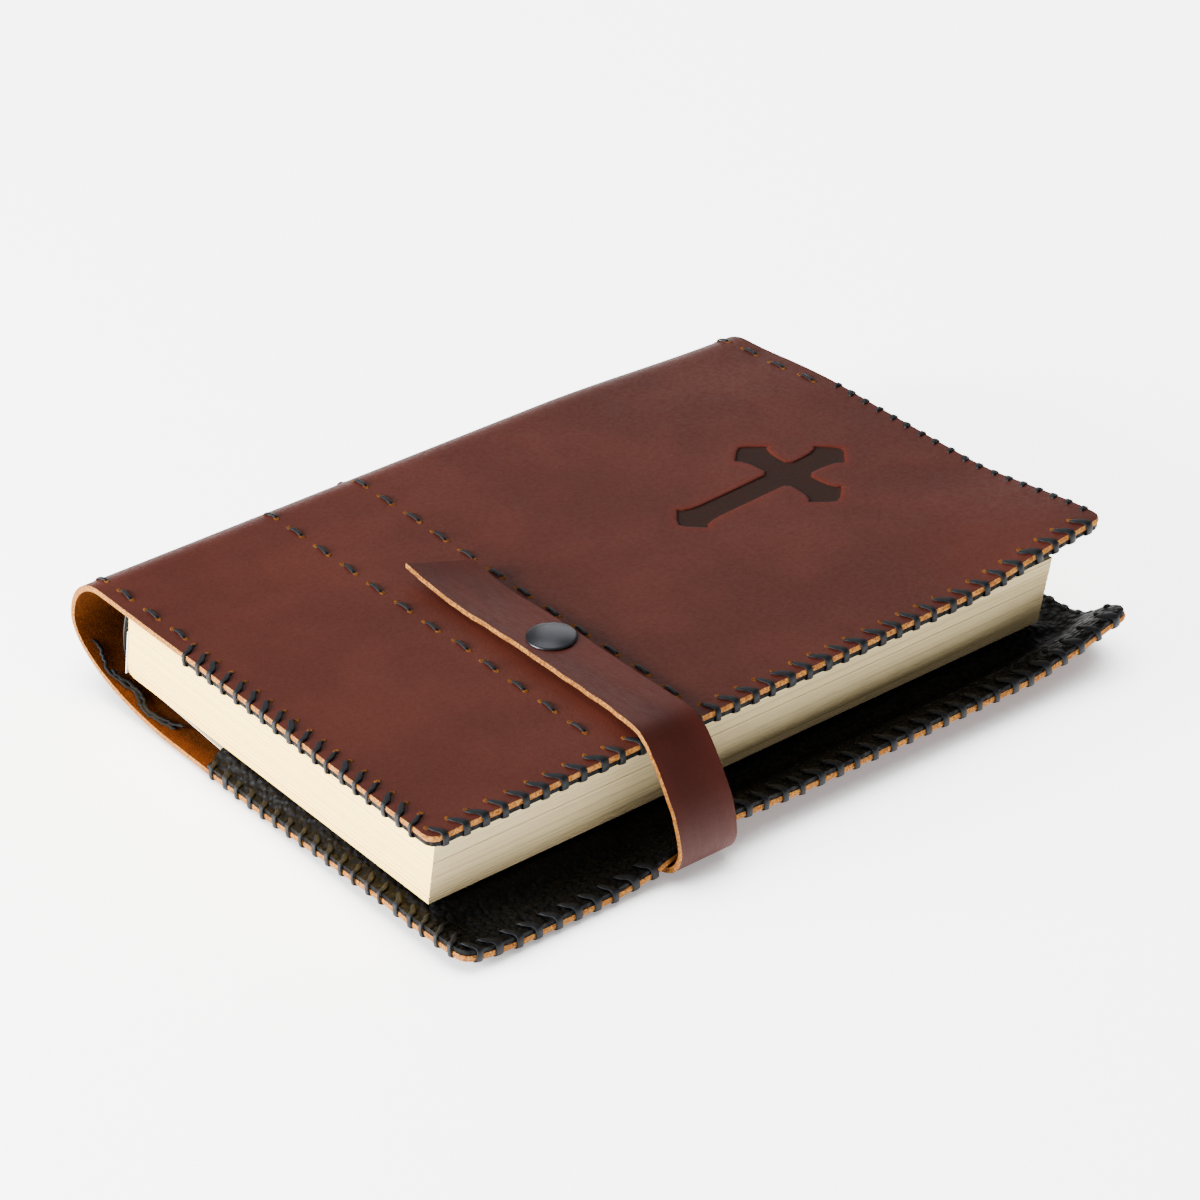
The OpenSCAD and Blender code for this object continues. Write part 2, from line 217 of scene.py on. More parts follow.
@dataclass(frozen=True)
class Finish:
    """A plain finish, and the base of the others."""

    name: str
    color: str
    roughness: float = 0.5
    metallic: float = 0.0
    shine: float = 0.5
    glow: float = 0.0
    ior: float = 1.5

    def material(self) -> bpy.types.Material:
        """The finish's material, made once."""
        found = bpy.data.materials.get(self.name)
        if found:
            return found
        made = bpy.data.materials.new(self.name)
        made.use_nodes = True
        tree = made.node_tree
        tree.nodes.clear()
        shader = add_node(
            tree,
            "ShaderNodeBsdfPrincipled",
            {
                "Base Color": linear(self.color),
                "Roughness": self.roughness,
                "Metallic": self.metallic,
                "Specular IOR Level": self.shine,
                "IOR": self.ior,
                "Emission Color": linear(self.color),
                "Emission Strength": self.glow,
            },
        )
        add_node(tree, "ShaderNodeOutputMaterial", {"Surface": shader.outputs[0]})
        self.detail(tree, shader)
        return made

    def detail(self, tree: Tree, shader: Node) -> None:
        """Adds pattern and relief to the shader. A plain finish has none."""

    def coords(self, tree: Tree, stretch: tuple[float, float, float] = (1, 1, 1)) -> Socket:
        """Object coordinates in mm, stretched along the axes."""
        where = add_node(tree, "ShaderNodeTexCoord")
        scale = [1000.0 * s for s in stretch]
        return add_node(tree, "ShaderNodeMapping", {"Vector": where.outputs["Object"], "Scale": scale}).outputs[0]

    def noise(self, tree: Tree, size: float, where: Socket, detail: float = 3.0) -> Socket:
        """Noise whose features are about size mm wide."""
        inputs = {"Vector": where, "Scale": 1.0 / size, "Detail": detail, "Roughness": 0.55}
        return add_node(tree, "ShaderNodeTexNoise", inputs).outputs["Fac"]

    def span(
        self, tree: Tree, value: Socket, low: float, high: float, out: tuple[float, float] = (0.0, 1.0)
    ) -> Socket:
        """A value mapped from low..high to out, held inside it."""
        node = add_node(
            tree,
            "ShaderNodeMapRange",
            {"Value": value, "From Min": low, "From Max": high, "To Min": out[0], "To Max": out[1]},
            interpolation_type="SMOOTHSTEP",
        )
        return node.outputs[0]

    def blend(self, tree: Tree, factor: Socket, a: object, b: object) -> Socket:
        """Colour a where factor is 0 and b where it is 1."""
        return add_node(tree, "ShaderNodeMix", {0: factor, 6: a, 7: b}, data_type="RGBA").outputs[2]

    def relief(self, tree: Tree, shader: Node, heights: Sequence[tuple[Socket, float]]) -> None:
        """Bumps from several heights, each with its depth in mm."""
        normal = None
        for height, depth in heights:
            inputs = {"Height": height, "Distance": depth / 1000.0, "Strength": 1.0}
            if normal:
                inputs["Normal"] = normal
            normal = add_node(tree, "ShaderNodeBump", inputs).outputs[0]
        tree.links.new(normal, shader.inputs["Normal"])


@dataclass(frozen=True)
class Grain(Finish):
    """Smooth oiled leather with a fine grain, and a pressed mark where the mesh has one."""

    light: str = "#7A463C"
    dark: str = "#5A322B"
    streak: tuple[float, float, float] = (1.0, 1.0, 1.0)
    depth: float = 0.05
    mark: bool = False
    halo: str = "#5A180C"
    burnt: tuple[str, str] = ("#1F0E08", "#2A140C")

    def detail(self, tree: Tree, shader: Node) -> None:
        """Mottled colour, creases, pores, and the mark's burnt floor and warm halo."""
        where = self.coords(tree, self.streak)
        plain = self.coords(tree)
        cloud = self.noise(tree, 38.0, where, 4.0)
        small = self.noise(tree, 1.6, where, 5.0)
        color = self.blend(tree, self.span(tree, cloud, 0.38, 0.68), linear(self.color), linear(self.light))
        color = self.blend(tree, self.span(tree, small, 0.5, 0.9, (0.0, 0.16)), color, linear(self.dark))
        specks = add_node(tree, "ShaderNodeTexVoronoi", {"Vector": plain, "Scale": 1 / 9.0, "Randomness": 1.0})
        speck = self.span(tree, specks.outputs["Distance"], 0.02, 0.045, (0.45, 0.0))
        color = self.blend(tree, speck, color, linear(self.dark))
        rough = self.span(tree, small, 0.3, 0.75, (self.roughness - 0.04, self.roughness + 0.06))
        pores = add_node(tree, "ShaderNodeTexVoronoi", {"Vector": plain, "Scale": 1.0 / 0.75}, feature="SMOOTH_F1")
        grain = self.noise(tree, 1.1, plain, 5.0)
        heights = [(cloud, 0.5), (grain, self.depth), (pores.outputs["Distance"], self.depth * 0.8)]
        if self.mark:
            away = add_node(tree, "ShaderNodeAttribute", attribute_name="mark").outputs["Fac"]
            burnt = self.span(tree, away, -0.25, 0.15, (1.0, 0.0))
            halo = self.span(tree, away, 0.0, 4.5, (0.32, 0.0))
            color = self.blend(tree, halo, color, linear(self.halo))
            floor = self.blend(tree, self.span(tree, small, 0.35, 0.7), *map(linear, self.burnt))
            color = self.blend(tree, burnt, color, floor)
            duller = self.span(tree, away, -0.25, 0.15, (0.08, 0.0))
            rough = add_node(tree, "ShaderNodeMath", {0: rough, 1: duller}, operation="ADD").outputs[0]
            heights.append((self.span(tree, away, -0.5, 0.3), 0.3))
        tree.links.new(color, shader.inputs["Base Color"])
        tree.links.new(rough, shader.inputs["Roughness"])
        self.relief(tree, shader, heights)


@dataclass(frozen=True)
class Fibre(Finish):
    """Raw leather: a cut edge or the flesh side."""

    light: str = "#D9A866"
    size: float = 0.7
    depth: float = 0.3

    def detail(self, tree: Tree, shader: Node) -> None:
        """Fibres in two sizes, in colour and in relief."""
        where = self.coords(tree)
        fine = self.noise(tree, self.size, where, 6.0)
        broad = self.noise(tree, self.size * 9.0, where, 3.0)
        color = self.blend(tree, self.span(tree, fine, 0.32, 0.68), linear(self.color), linear(self.light))
        color = self.blend(tree, self.span(tree, broad, 0.42, 0.75, (0.0, 0.5)), color, linear(self.color))
        tree.links.new(color, shader.inputs["Base Color"])
        self.relief(tree, shader, [(fine, self.depth), (broad, self.depth)])


@dataclass(frozen=True)
class Pebble(Finish):
    """Black pebbled pocket leather."""

    cell: float = 1.7

    def detail(self, tree: Tree, shader: Node) -> None:
        """Rounded pebbles parted by creases."""
        where = self.coords(tree)
        shift = add_node(tree, "ShaderNodeTexNoise", {"Vector": where, "Scale": 0.25}).outputs["Color"]
        bent = add_node(tree, "ShaderNodeVectorMath", {0: where, 1: shift}, operation="ADD").outputs[0]
        cells = add_node(tree, "ShaderNodeTexVoronoi", {"Vector": bent, "Scale": 1.0 / self.cell}, feature="SMOOTH_F1")
        crease = cells.outputs["Distance"]
        rough = self.span(tree, crease, 0.2, 0.75, (self.roughness, self.roughness + 0.25))
        tree.links.new(rough, shader.inputs["Roughness"])
        pebbles = self.span(tree, crease, 0.15, 0.85, (1.0, 0.0))
        self.relief(tree, shader, [(pebbles, 0.6), (self.noise(tree, 0.4, where), 0.05)])


@dataclass(frozen=True)
class Paper(Finish):
    """The cut edges of many leaves."""

    shade: str = "#E6D3A6"

    def detail(self, tree: Tree, shader: Node) -> None:
        """Thin level lines and a few darker gaps between gatherings, painted shade where the leaves part."""
        fine = self.noise(tree, 1.0, self.coords(tree, (0.012, 0.012, 4.0)), 2.0)
        broad = self.noise(tree, 1.0, self.coords(tree, (0.006, 0.006, 0.75)), 2.0)
        # Painted shade: fine lines and broad bands between the leaves darken towards the shade colour.
        color = self.blend(tree, self.span(tree, fine, 0.4, 0.75, (0.0, 0.55)), linear(self.color), linear(self.shade))
        color = self.blend(tree, self.span(tree, broad, 0.5, 0.8, (0.0, 0.6)), color, linear(self.shade))
        tree.links.new(color, shader.inputs["Base Color"])
        self.relief(tree, shader, [(fine, 0.12)])


@dataclass(frozen=True)
class Twist(Finish):
    """Flat waxed thread, with the plies showing along it."""

    def detail(self, tree: Tree, shader: Node) -> None:
        """Fine plies as relief."""
        self.relief(tree, shader, [(self.noise(tree, 0.35, self.coords(tree), 2.0), 0.04)])


@dataclass(frozen=True)
class Ground(Finish):
    """A glowing white floor, with a painted contact shadow close under the book."""

    def detail(self, tree: Tree, shader: Node) -> None:
        """Glows less where the book stands close over the floor, which paints its contact shadow."""
        # Painted shadow: the glow falls with ambient occlusion near the book.
        near = add_node(tree, "ShaderNodeAmbientOcclusion", {"Distance": 0.022}, samples=8).outputs["AO"]
        tree.links.new(self.span(tree, near, 0.35, 0.95, (0.3, self.glow)), shader.inputs["Emission Strength"])


COVER = Grain("cover_grain", "#421B13", 0.55, light="#4A2017", dark="#32130C", mark=True, shine=0.12, ior=1.38)
STRAP = Grain("strap_grain", "#36130D", 0.5, light="#431A13", dark="#250C08", streak=(0.3, 1.4, 0.3), shine=0.12)
EDGE = Fibre("cut_edge", "#66391A", 0.85, light="#AC7638", shine=0.05)
SUEDE = Fibre("flesh_side", "#3F1D08", 0.95, light="#5E3210", size=0.5, depth=0.25, shine=0.03)
RIM = Fibre("hole_rim", "#42220A", 0.85, light="#784B1F", size=0.5, shine=0.05)
DARK_RIM = Finish("dark_hole_rim", "#010101", 0.6, shine=0.1)
POCKET = Pebble("pocket_pebble", "#040405", 0.5, shine=0.22, ior=1.3)
THREAD = Twist("thread_black", "#0A0C10", 0.6, shine=0.2)
PAPER = Paper("page_ends", "#FFDB80", 0.85, shade="#F0C45F", shine=0.0)
# Painted shade: the fore-edge is the same paper as the page ends, given a darker copy of their colour because it faces
# away from the key light.
PAPER_SIDE_SHADED = Paper("page_sides_painted_shade", "#C6B388", 0.85, shade="#96865F", shine=0.0)
PAGE = Finish("page_face", "#F2DDA8", 0.85, shine=0.1)
CARD = Finish("cover_card_black", "#050506", 0.35, shine=0.3)
# The card is white inside; this colour is that white greyed as painted shade, since the inside lies under the cover.
CARD_INSIDE_SHADED = Finish("cover_card_white_shaded", "#CFC6AE", 0.8, shine=0.1)
GLUE = Finish("dry_glue", "#E9E4D2", 0.5)
METAL = Finish("gunmetal", "#3A3B3F", 0.34, metallic=1.0)
FLOOR = Ground("floor_white_painted_shadow", "#FFFFFF", 0.9, shine=0.0, glow=4.5)


# ---------------------------------------------------------------- meshes


def linked(name: str, data: bpy.types.ID) -> bpy.types.Object:
    """A new object in the scene."""
    made = bpy.data.objects.new(name, data)
    bpy.context.scene.collection.objects.link(made)
    return made


def shade_smooth(mesh: bpy.types.Mesh) -> None:
    """Sets every face of a mesh to smooth shading."""
    mesh.polygons.foreach_set("use_smooth", np.ones(len(mesh.polygons), bool))


@dataclass
class Piece:
    """One visible piece: a mesh in design mm, and what it stands for."""

    name: str
    points: np.ndarray
    faces: list
    sides: list[int]
    finishes: Sequence[Finish]
    slot: str
    stands_for: tuple[str, ...] = ()
    marks: dict[str, np.ndarray] = field(default_factory=dict)
    sharp: float = 45.0
    made: bpy.types.Object | None = None

    def build(self) -> "Piece":
        """Makes the object, closed and with its normals outward."""
        mesh = bpy.data.meshes.new(self.name)
        mesh.from_pydata(LAYOUT.place(self.points).tolist(), [], self.faces)
        mesh.polygons.foreach_set("material_index", np.asarray(self.sides, np.int32))
        for key, values in self.marks.items():
            attribute = mesh.attributes.new(key, "FLOAT", "POINT")
            attribute.data.foreach_set("value", np.asarray(values, np.float32))
        for finish in self.finishes:
            mesh.materials.append(finish.material())
        shape = bmesh.new()
        shape.from_mesh(mesh)
        bmesh.ops.recalc_face_normals(shape, faces=shape.faces)
        shape.to_mesh(mesh)
        shape.free()
        shade_smooth(mesh)
        mesh.set_sharp_from_angle(angle=math.radians(self.sharp))
        mesh.update()
        self.made = linked(self.name, mesh)
        LOG.info("%s: %d faces", self.name, len(mesh.polygons))
        return self

    def _declare(self) -> None:
        """Hides the CAD nodes that the piece stands for."""
        if self.stands_for:
            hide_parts(*self.stands_for)

    def ride(self, body: str) -> "Piece":
        """The piece moves with one body."""
        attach(self.made, body)
        self._declare()
        return self

    def bend(self, bend: "Bend") -> "Piece":
        """Bakes the piece's place into its mesh and hides the CAD nodes that it stands for."""
        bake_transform(self.made, bend.first, bend.second, LAYOUT.at(*bend.start), LAYOUT.at(*bend.end))
        self._declare()
        return self


@dataclass(frozen=True)
class Bend:
    """Where a soft piece passes from one body to the next, in design mm."""

    first: str
    second: str
    start: tuple[float, float, float]
    end: tuple[float, float, float]


COVER_BEND = Bend(ROOT, FRONT, (-20.0, 0.0, 30.0), (8.0, 0.0, 38.0))
CARD_BEND = Bend(ROOT, FRONT, (2.0, 0.0, 35.0), (22.0, 0.0, 35.0))
LOW_BEND = Bend(ROOT, RISER, (168.0, 0.0, 0.0), (180.0, 0.0, 16.0))
TOP_BEND = Bend(RISER, TONGUE, (174.0, 0.0, 28.0), (158.0, 0.0, 41.0))


def border(index: np.ndarray) -> np.ndarray:
    """The entries round the edge of a grid, in order."""
    return np.concatenate([index[:-1, 0], index[-1, :-1], index[:0:-1, -1], index[0, :0:-1]])


def quads(index: np.ndarray) -> np.ndarray:
    """The four corners of every cell of a grid of indices."""
    return np.stack([g.ravel() for g in (index[:-1, :-1], index[1:, :-1], index[1:, 1:], index[:-1, 1:])], 1)


def sheet(
    name: str,
    outer: np.ndarray,
    inner: np.ndarray,
    finishes: Sequence[Finish],
    slot: str,
    stands_for: tuple[str, ...],
    bulge: float = 0.25,
    marks: dict[str, np.ndarray] | None = None,
) -> Piece:
    """A closed sheet between two grids, with a rounded cut edge all round.

    Args:
        name: Name of the piece.
        outer: Grid of points of the outer side, in mm.
        inner: Grid of points of the inner side, in mm.
        finishes: Outer side, inner side and edge.
        slot: Name of a material slot, kept on the piece.
        stands_for: CAD nodes that it stands for.
        bulge: How far the middle of the edge stands out, in mm.
        marks: Values for the grid's points, kept as attributes.

    Returns:
        The piece, built.
    """
    nu, nv = outer.shape[:2]
    count = nu * nv
    index = np.arange(count).reshape(nu, nv)
    ring = border(index)
    flat_o, flat_i = outer.reshape(-1, 3), inner.reshape(-1, 3)
    middle = (flat_o[ring] + flat_i[ring]) / 2
    along = np.roll(middle, -1, 0) - np.roll(middle, 1, 0)
    out = np.cross(along, flat_o[ring] - flat_i[ring])
    out /= np.linalg.norm(out, axis=1)[:, None] + 1e-9
    inside = flat_o[(index[nu // 2, nv // 2])]
    if np.mean(np.sum(out * (middle - inside), 1)) < 0:
        out = -out
    top = quads(index)
    low = top[:, ::-1] + count
    n = len(ring)
    k, nxt = np.arange(n), (np.arange(n) + 1) % n
    mid = 2 * count + k
    upper = np.stack([ring[k], ring[nxt], mid[nxt], mid[k]], 1)
    under = np.stack([mid[k], mid[nxt], ring[nxt] + count, ring[k] + count], 1)
    values = {}
    for key, v in (marks or {}).items():
        values[key] = np.concatenate([v.ravel(), v.ravel() + FAR, np.full(n, FAR)])
    return Piece(
        name,
        np.concatenate([flat_o, flat_i, middle + out * bulge]),
        np.concatenate([top, low, upper, under]).tolist(),
        [0] * len(top) + [1] * len(low) + [2] * (2 * n),
        finishes,
        slot,
        stands_for,
        values,
    ).build()


def tube_faces(rings: int, sides: int, ends: bool = True) -> list:
    """Faces that join rings of points one after another, closed at the ends if asked."""
    faces = []
    for i in range(rings - 1):
        a, b = i * sides, (i + 1) * sides
        faces += [[a + j, a + (j + 1) % sides, b + (j + 1) % sides, b + j] for j in range(sides)]
    if ends:
        faces += [list(range(sides))[::-1], [(rings - 1) * sides + j for j in range(sides)]]
    return faces


def tube(
    path: np.ndarray, side: np.ndarray, normal: np.ndarray, wide: np.ndarray, thick: np.ndarray, sides: int = 8
) -> Shape:
    """A closed flat tube along a path.

    Args:
        path: Points in mm.
        side: Direction across it at each point.
        normal: Direction that its flat side faces at each point.
        wide: Half its width at each point.
        thick: Half its thickness at each point.
        sides: Faces round it.

    Returns:
        Its points and faces.
    """
    turn = np.linspace(0, 2 * math.pi, sides, endpoint=False)
    rings = []
    for p, s, n, w, t in zip(path, side, normal, wide, thick):
        rings.append(p + np.outer(np.cos(turn), s) * w + np.outer(np.sin(turn), n) * t)
    return np.concatenate(rings), tube_faces(len(path), sides)


def ribbon(path: np.ndarray, width: float, thick: float, up: Sequence[float]) -> Shape:
    """A flat thread along a path.

    Args:
        path: Points in mm.
        width: Width of the thread.
        thick: Its thickness.
        up: Direction that its flat side faces where the path allows.

    Returns:
        Its points and faces.
    """
    tangent = unit(np.gradient(path, axis=0))
    side = np.cross(tangent, np.asarray(up, float))
    side /= np.linalg.norm(side, axis=1)[:, None] + 1e-9
    normal = np.cross(side, tangent)
    ends = np.ones(len(path))
    ends[[0, -1]] = 0.6
    return tube(path, side, normal, ends * width / 2, ends * thick / 2)


def curve(points: Sequence[Sequence[float]], step: float) -> np.ndarray:
    """A smooth line through points, with steps of about one length."""
    p = np.asarray(points, float)
    full = np.concatenate([[2 * p[0] - p[1]], p, [2 * p[-1] - p[-2]]])
    made = []
    for i in range(1, len(full) - 2):
        a, b, c, d = full[i - 1 : i + 3]
        n = max(1, int(np.linalg.norm(c - b) / step))
        t = np.linspace(0, 1, n, endpoint=False)[:, None]
        made.append(0.5 * (2 * b + (c - a) * t + (2 * a - 5 * b + 4 * c - d) * t**2 + (3 * b - a - 3 * c + d) * t**3))
    return np.concatenate(made + [p[-1:]])


def lathe(profile: Sequence[tuple[float, float]], centre: tuple[float, float], turns: int = 64) -> Shape:
    """A round part from (radius, height) points that begin and end on its axis."""
    angle = np.linspace(0, 2 * math.pi, turns, endpoint=False)
    inner = profile[1:-1]
    circle = np.stack([np.cos(angle), np.sin(angle)], 1)
    rings = [np.column_stack([np.add(centre, r * circle), np.full(turns, z)]) for r, z in inner]
    points = np.concatenate(rings + [[[*centre, profile[0][1]], [*centre, profile[-1][1]]]])
    first, last = len(points) - 2, len(points) - 1
    faces = tube_faces(len(inner), turns, ends=False)
    for j in range(turns):
        faces.append([first, (j + 1) % turns, j])
        faces.append([last, (len(inner) - 1) * turns + j, (len(inner) - 1) * turns + (j + 1) % turns])
    return points, faces


# ---------------------------------------------------------------- surfaces of the cover


class Side(Enum):
    """The two halves of the cover."""

    FRONT = "front"
    BACK = "back"


class Hide:
    """The outside of one half of the cover, as a function of the way along it and y."""

    def __init__(self, side: Side) -> None:
        """Tabulates the section of this half.

        Args:
            side: Which half.
        """
        self.side = side
        turn = np.radians(np.linspace(0, 90, 61))
        if side is Side.FRONT:
            self.bend_at = S.shoulder_x
            x = S.shoulder_x - S.shoulder_r * np.sin(turn)
            z = S.bend_z + S.shoulder_r * np.cos(turn)
            nx, nz = -np.sin(turn), np.cos(turn)
        else:
            self.bend_at = S.sweep_x
            x = S.sweep_x - S.sweep_a * np.sin(turn)
            z = S.bend_z - S.bend_z * np.cos(turn)
            nx, nz = -np.sin(turn) / S.sweep_a, -np.cos(turn) / S.bend_z
            size = np.hypot(nx, nz)
            nx, nz = nx / size, nz / size
        way = np.concatenate([[0], np.cumsum(np.hypot(np.diff(x), np.diff(z)))])
        self.table = (way, x, z, nx, nz)
        self.start = self.bend_at - way[-1]

    def lift(self, x: np.ndarray, y: np.ndarray) -> np.ndarray:
        """How far the half is raised above its flat shape, in mm."""
        return front_lift(x, y) if self.side is Side.FRONT else back_lift(x, y)

    def at(self, u: np.ndarray, y: np.ndarray) -> tuple[np.ndarray, np.ndarray]:
        """Points and outward normals of the outside.

        Args:
            u: Way along the section; equal to x on the flat part.
            y: Distance from the tail edge of the leaves.

        Returns:
            Points and normals, in mm.
        """
        u, y = np.broadcast_arrays(np.asarray(u, float), np.asarray(y, float))
        way, x, z, nx, nz = self.table
        back = np.clip(self.bend_at - u, 0, None)
        sign = 1.0 if self.side is Side.FRONT else -1.0
        px = np.where(u >= self.bend_at, u, np.interp(back, way, x))
        pz = np.interp(back, way, z)
        step = 0.5
        lift = self.lift(px, y)
        dx = (self.lift(px + step, y) - lift) / step
        dy = (self.lift(px, y + step) - lift) / step
        normal = np.stack([np.interp(back, way, nx) - sign * dx, -sign * dy, np.interp(back, way, nz)], -1)
        return np.stack([px, y, pz + lift], -1), unit(normal)


def front_lift(x: np.ndarray, y: np.ndarray) -> np.ndarray:
    """The front panel: one curled corner and slight waviness."""
    curl = 6.3 * smooth((x - 100.0) / 63.0) * smooth((y - 185.0) / 58.0)
    flat = smooth((x + 3.0) / 25.0)
    droop = -2.8 * smooth((y - 165.0) / 79.0) * smooth((42.0 - x) / 48.0)
    return curl + droop + flat * (0.28 * waves(x, y, 4, 90.0) + 0.1 * waves(x, y, 5, 30.0) + 0.15)


def back_lift(x: np.ndarray, y: np.ndarray) -> np.ndarray:
    """The back panel: lips at its edges, and a rise over the sewn end of the strap."""
    fore_y = [-6, 14, 47, 61, 66, 91, 113, 206, 226, 235, 245]
    fore_z = [3.6, 1.7, 1.6, 3.2, 5.2, 9.5, 8.2, 8.2, 11.6, 14.2, 14.8]
    fore = np.interp(y, fore_y, fore_z) * smooth((x - 151.0) / 24.5) ** 1.2
    tail = np.interp(x, [8, 30, 78, 137, 149, 161, 173], [1.0, 0.7, 0.7, 3.2, 2.8, 3.4, 3.4]) * smooth((9.0 - y) / 13.0)
    head = np.interp(x, [8, 30, 60, 150, 158, 168], [1.0, 0.7, 2.5, 3.0, 4.8, 10.0]) * smooth((y - 226.0) / 17.0)
    rim = 0.7 * smooth((x - 168.0) / 4.0)
    strap = 2.6 * smooth((x - 94.0) / 4.5) * smooth((y - 62.5) / 4.5) * smooth((93.5 - y) / 4.5)
    parts = np.stack([np.abs(v) for v in np.broadcast_arrays(fore, tail, head, rim, strap)])
    return np.sum(parts**4, 0) ** 0.25


FRONT_HIDE, BACK_HIDE = Hide(Side.FRONT), Hide(Side.BACK)


def rounded(
    u: np.ndarray, y: np.ndarray, end: float, low: float, high: float, r: float
) -> tuple[np.ndarray, np.ndarray]:
    """Draws a grid's two fore-edge corners in to a radius.

    Args:
        u: Grid positions across.
        y: Grid positions along.
        end: The fore-edge.
        low: The tail edge.
        high: The head edge.
        r: The corners' radius.

    Returns:
        The moved positions.
    """
    a = np.clip((u - (end - r)) / r, 0, 1)
    for edge, sign in ((low, -1.0), (high, 1.0)):
        b = np.clip(sign * (y - (edge - sign * r)) / r, 0, 1)
        both = (a > 0) & (b > 0)
        u = np.where(both, end - r + r * a * np.sqrt(1 - b * b / 2), u)
        y = np.where(both, edge - sign * r + sign * r * b * np.sqrt(1 - a * a / 2), y)
    return u, y


def panel(
    start: float, end: float, steps: tuple[float, float], inset: float = 0.0, fine: tuple = (None, None)
) -> tuple[np.ndarray, np.ndarray]:
    """Grid positions over a panel, from a line near the spine to its fore-edge.

    Args:
        start: Where the grid begins.
        end: The panel's fore-edge.
        steps: Spacing across and along.
        inset: How far the grid stays inside the panel's edges.
        fine: Closer stretches across and along.

    Returns:
        Positions across and along.
    """
    low, high, end = S.tail_y + inset, S.head_y - inset, end - inset
    u, y = lines(start, end, steps[0], fine[0]), lines(low, high, steps[1], fine[1])
    return rounded(*np.meshgrid(u, y, indexing="ij"), end, low, high, S.corner)


@dataclass(frozen=True)
class Cross:
    """The pressed cross on the front."""

    FAR_OFF: ClassVar[float] = 12.0

    x: float = 74.5
    y: float = 195.3
    head: float = 23.0
    foot: float = 45.0
    side: float = 22.0
    half: float = 4.25
    flare: float = 7.0
    point: float = 5.5
    swell: float = 7.5
    turn: float = 3.0
    depth: float = 0.35

    def outline(self) -> np.ndarray:
        """The outline's corners, with flared and pointed ends."""
        made = []
        for quarter, reach in ((0, self.side), (90, self.head), (180, self.side), (270, self.foot)):
            neck = reach - self.point
            arm = [(self.half + 1.6, -self.half), (neck - self.swell, -self.half)]
            for t in np.radians([30, 60, 90]):
                wider = (self.flare - self.half) * (1 - math.cos(t))
                arm.append((neck - self.swell + self.swell * math.sin(t), -self.half - wider))
            arm += [(reach - 1.2, -2.2), (reach, 0)]
            arm += [(px, -py) for px, py in arm[-2::-1]]
            a = math.radians(quarter + self.turn)
            c, s = math.cos(a), math.sin(a)
            made += [(self.x + px * c - py * s, self.y + px * s + py * c) for px, py in arm]
        return np.array(made)

    def distance(self, x: np.ndarray, y: np.ndarray) -> np.ndarray:
        """Distance outside the outline in mm, below 0 inside it and never above FAR_OFF."""
        far = np.full(x.shape, self.FAR_OFF)
        near = (np.abs(x - self.x) < 45) & (np.abs(y - self.y) < 60)
        p = np.stack([x[near], y[near]], 1)
        a = self.outline()
        b = np.roll(a, -1, 0)
        best, inside = np.full(len(p), 1e9), np.zeros(len(p), bool)
        for s, e in zip(a, b):
            d = e - s
            t = np.clip(((p - s) @ d) / (d @ d), 0, 1)
            best = np.minimum(best, np.linalg.norm(p - s - t[:, None] * d, axis=1))
            crosses = (s[1] > p[:, 1]) != (e[1] > p[:, 1])
            inside ^= crosses & (p[:, 0] < s[0] + (p[:, 1] - s[1]) * d[0] / (d[1] if d[1] else 1e-9))
        far[near] = np.minimum(np.where(inside, -best, best), self.FAR_OFF)
        return far


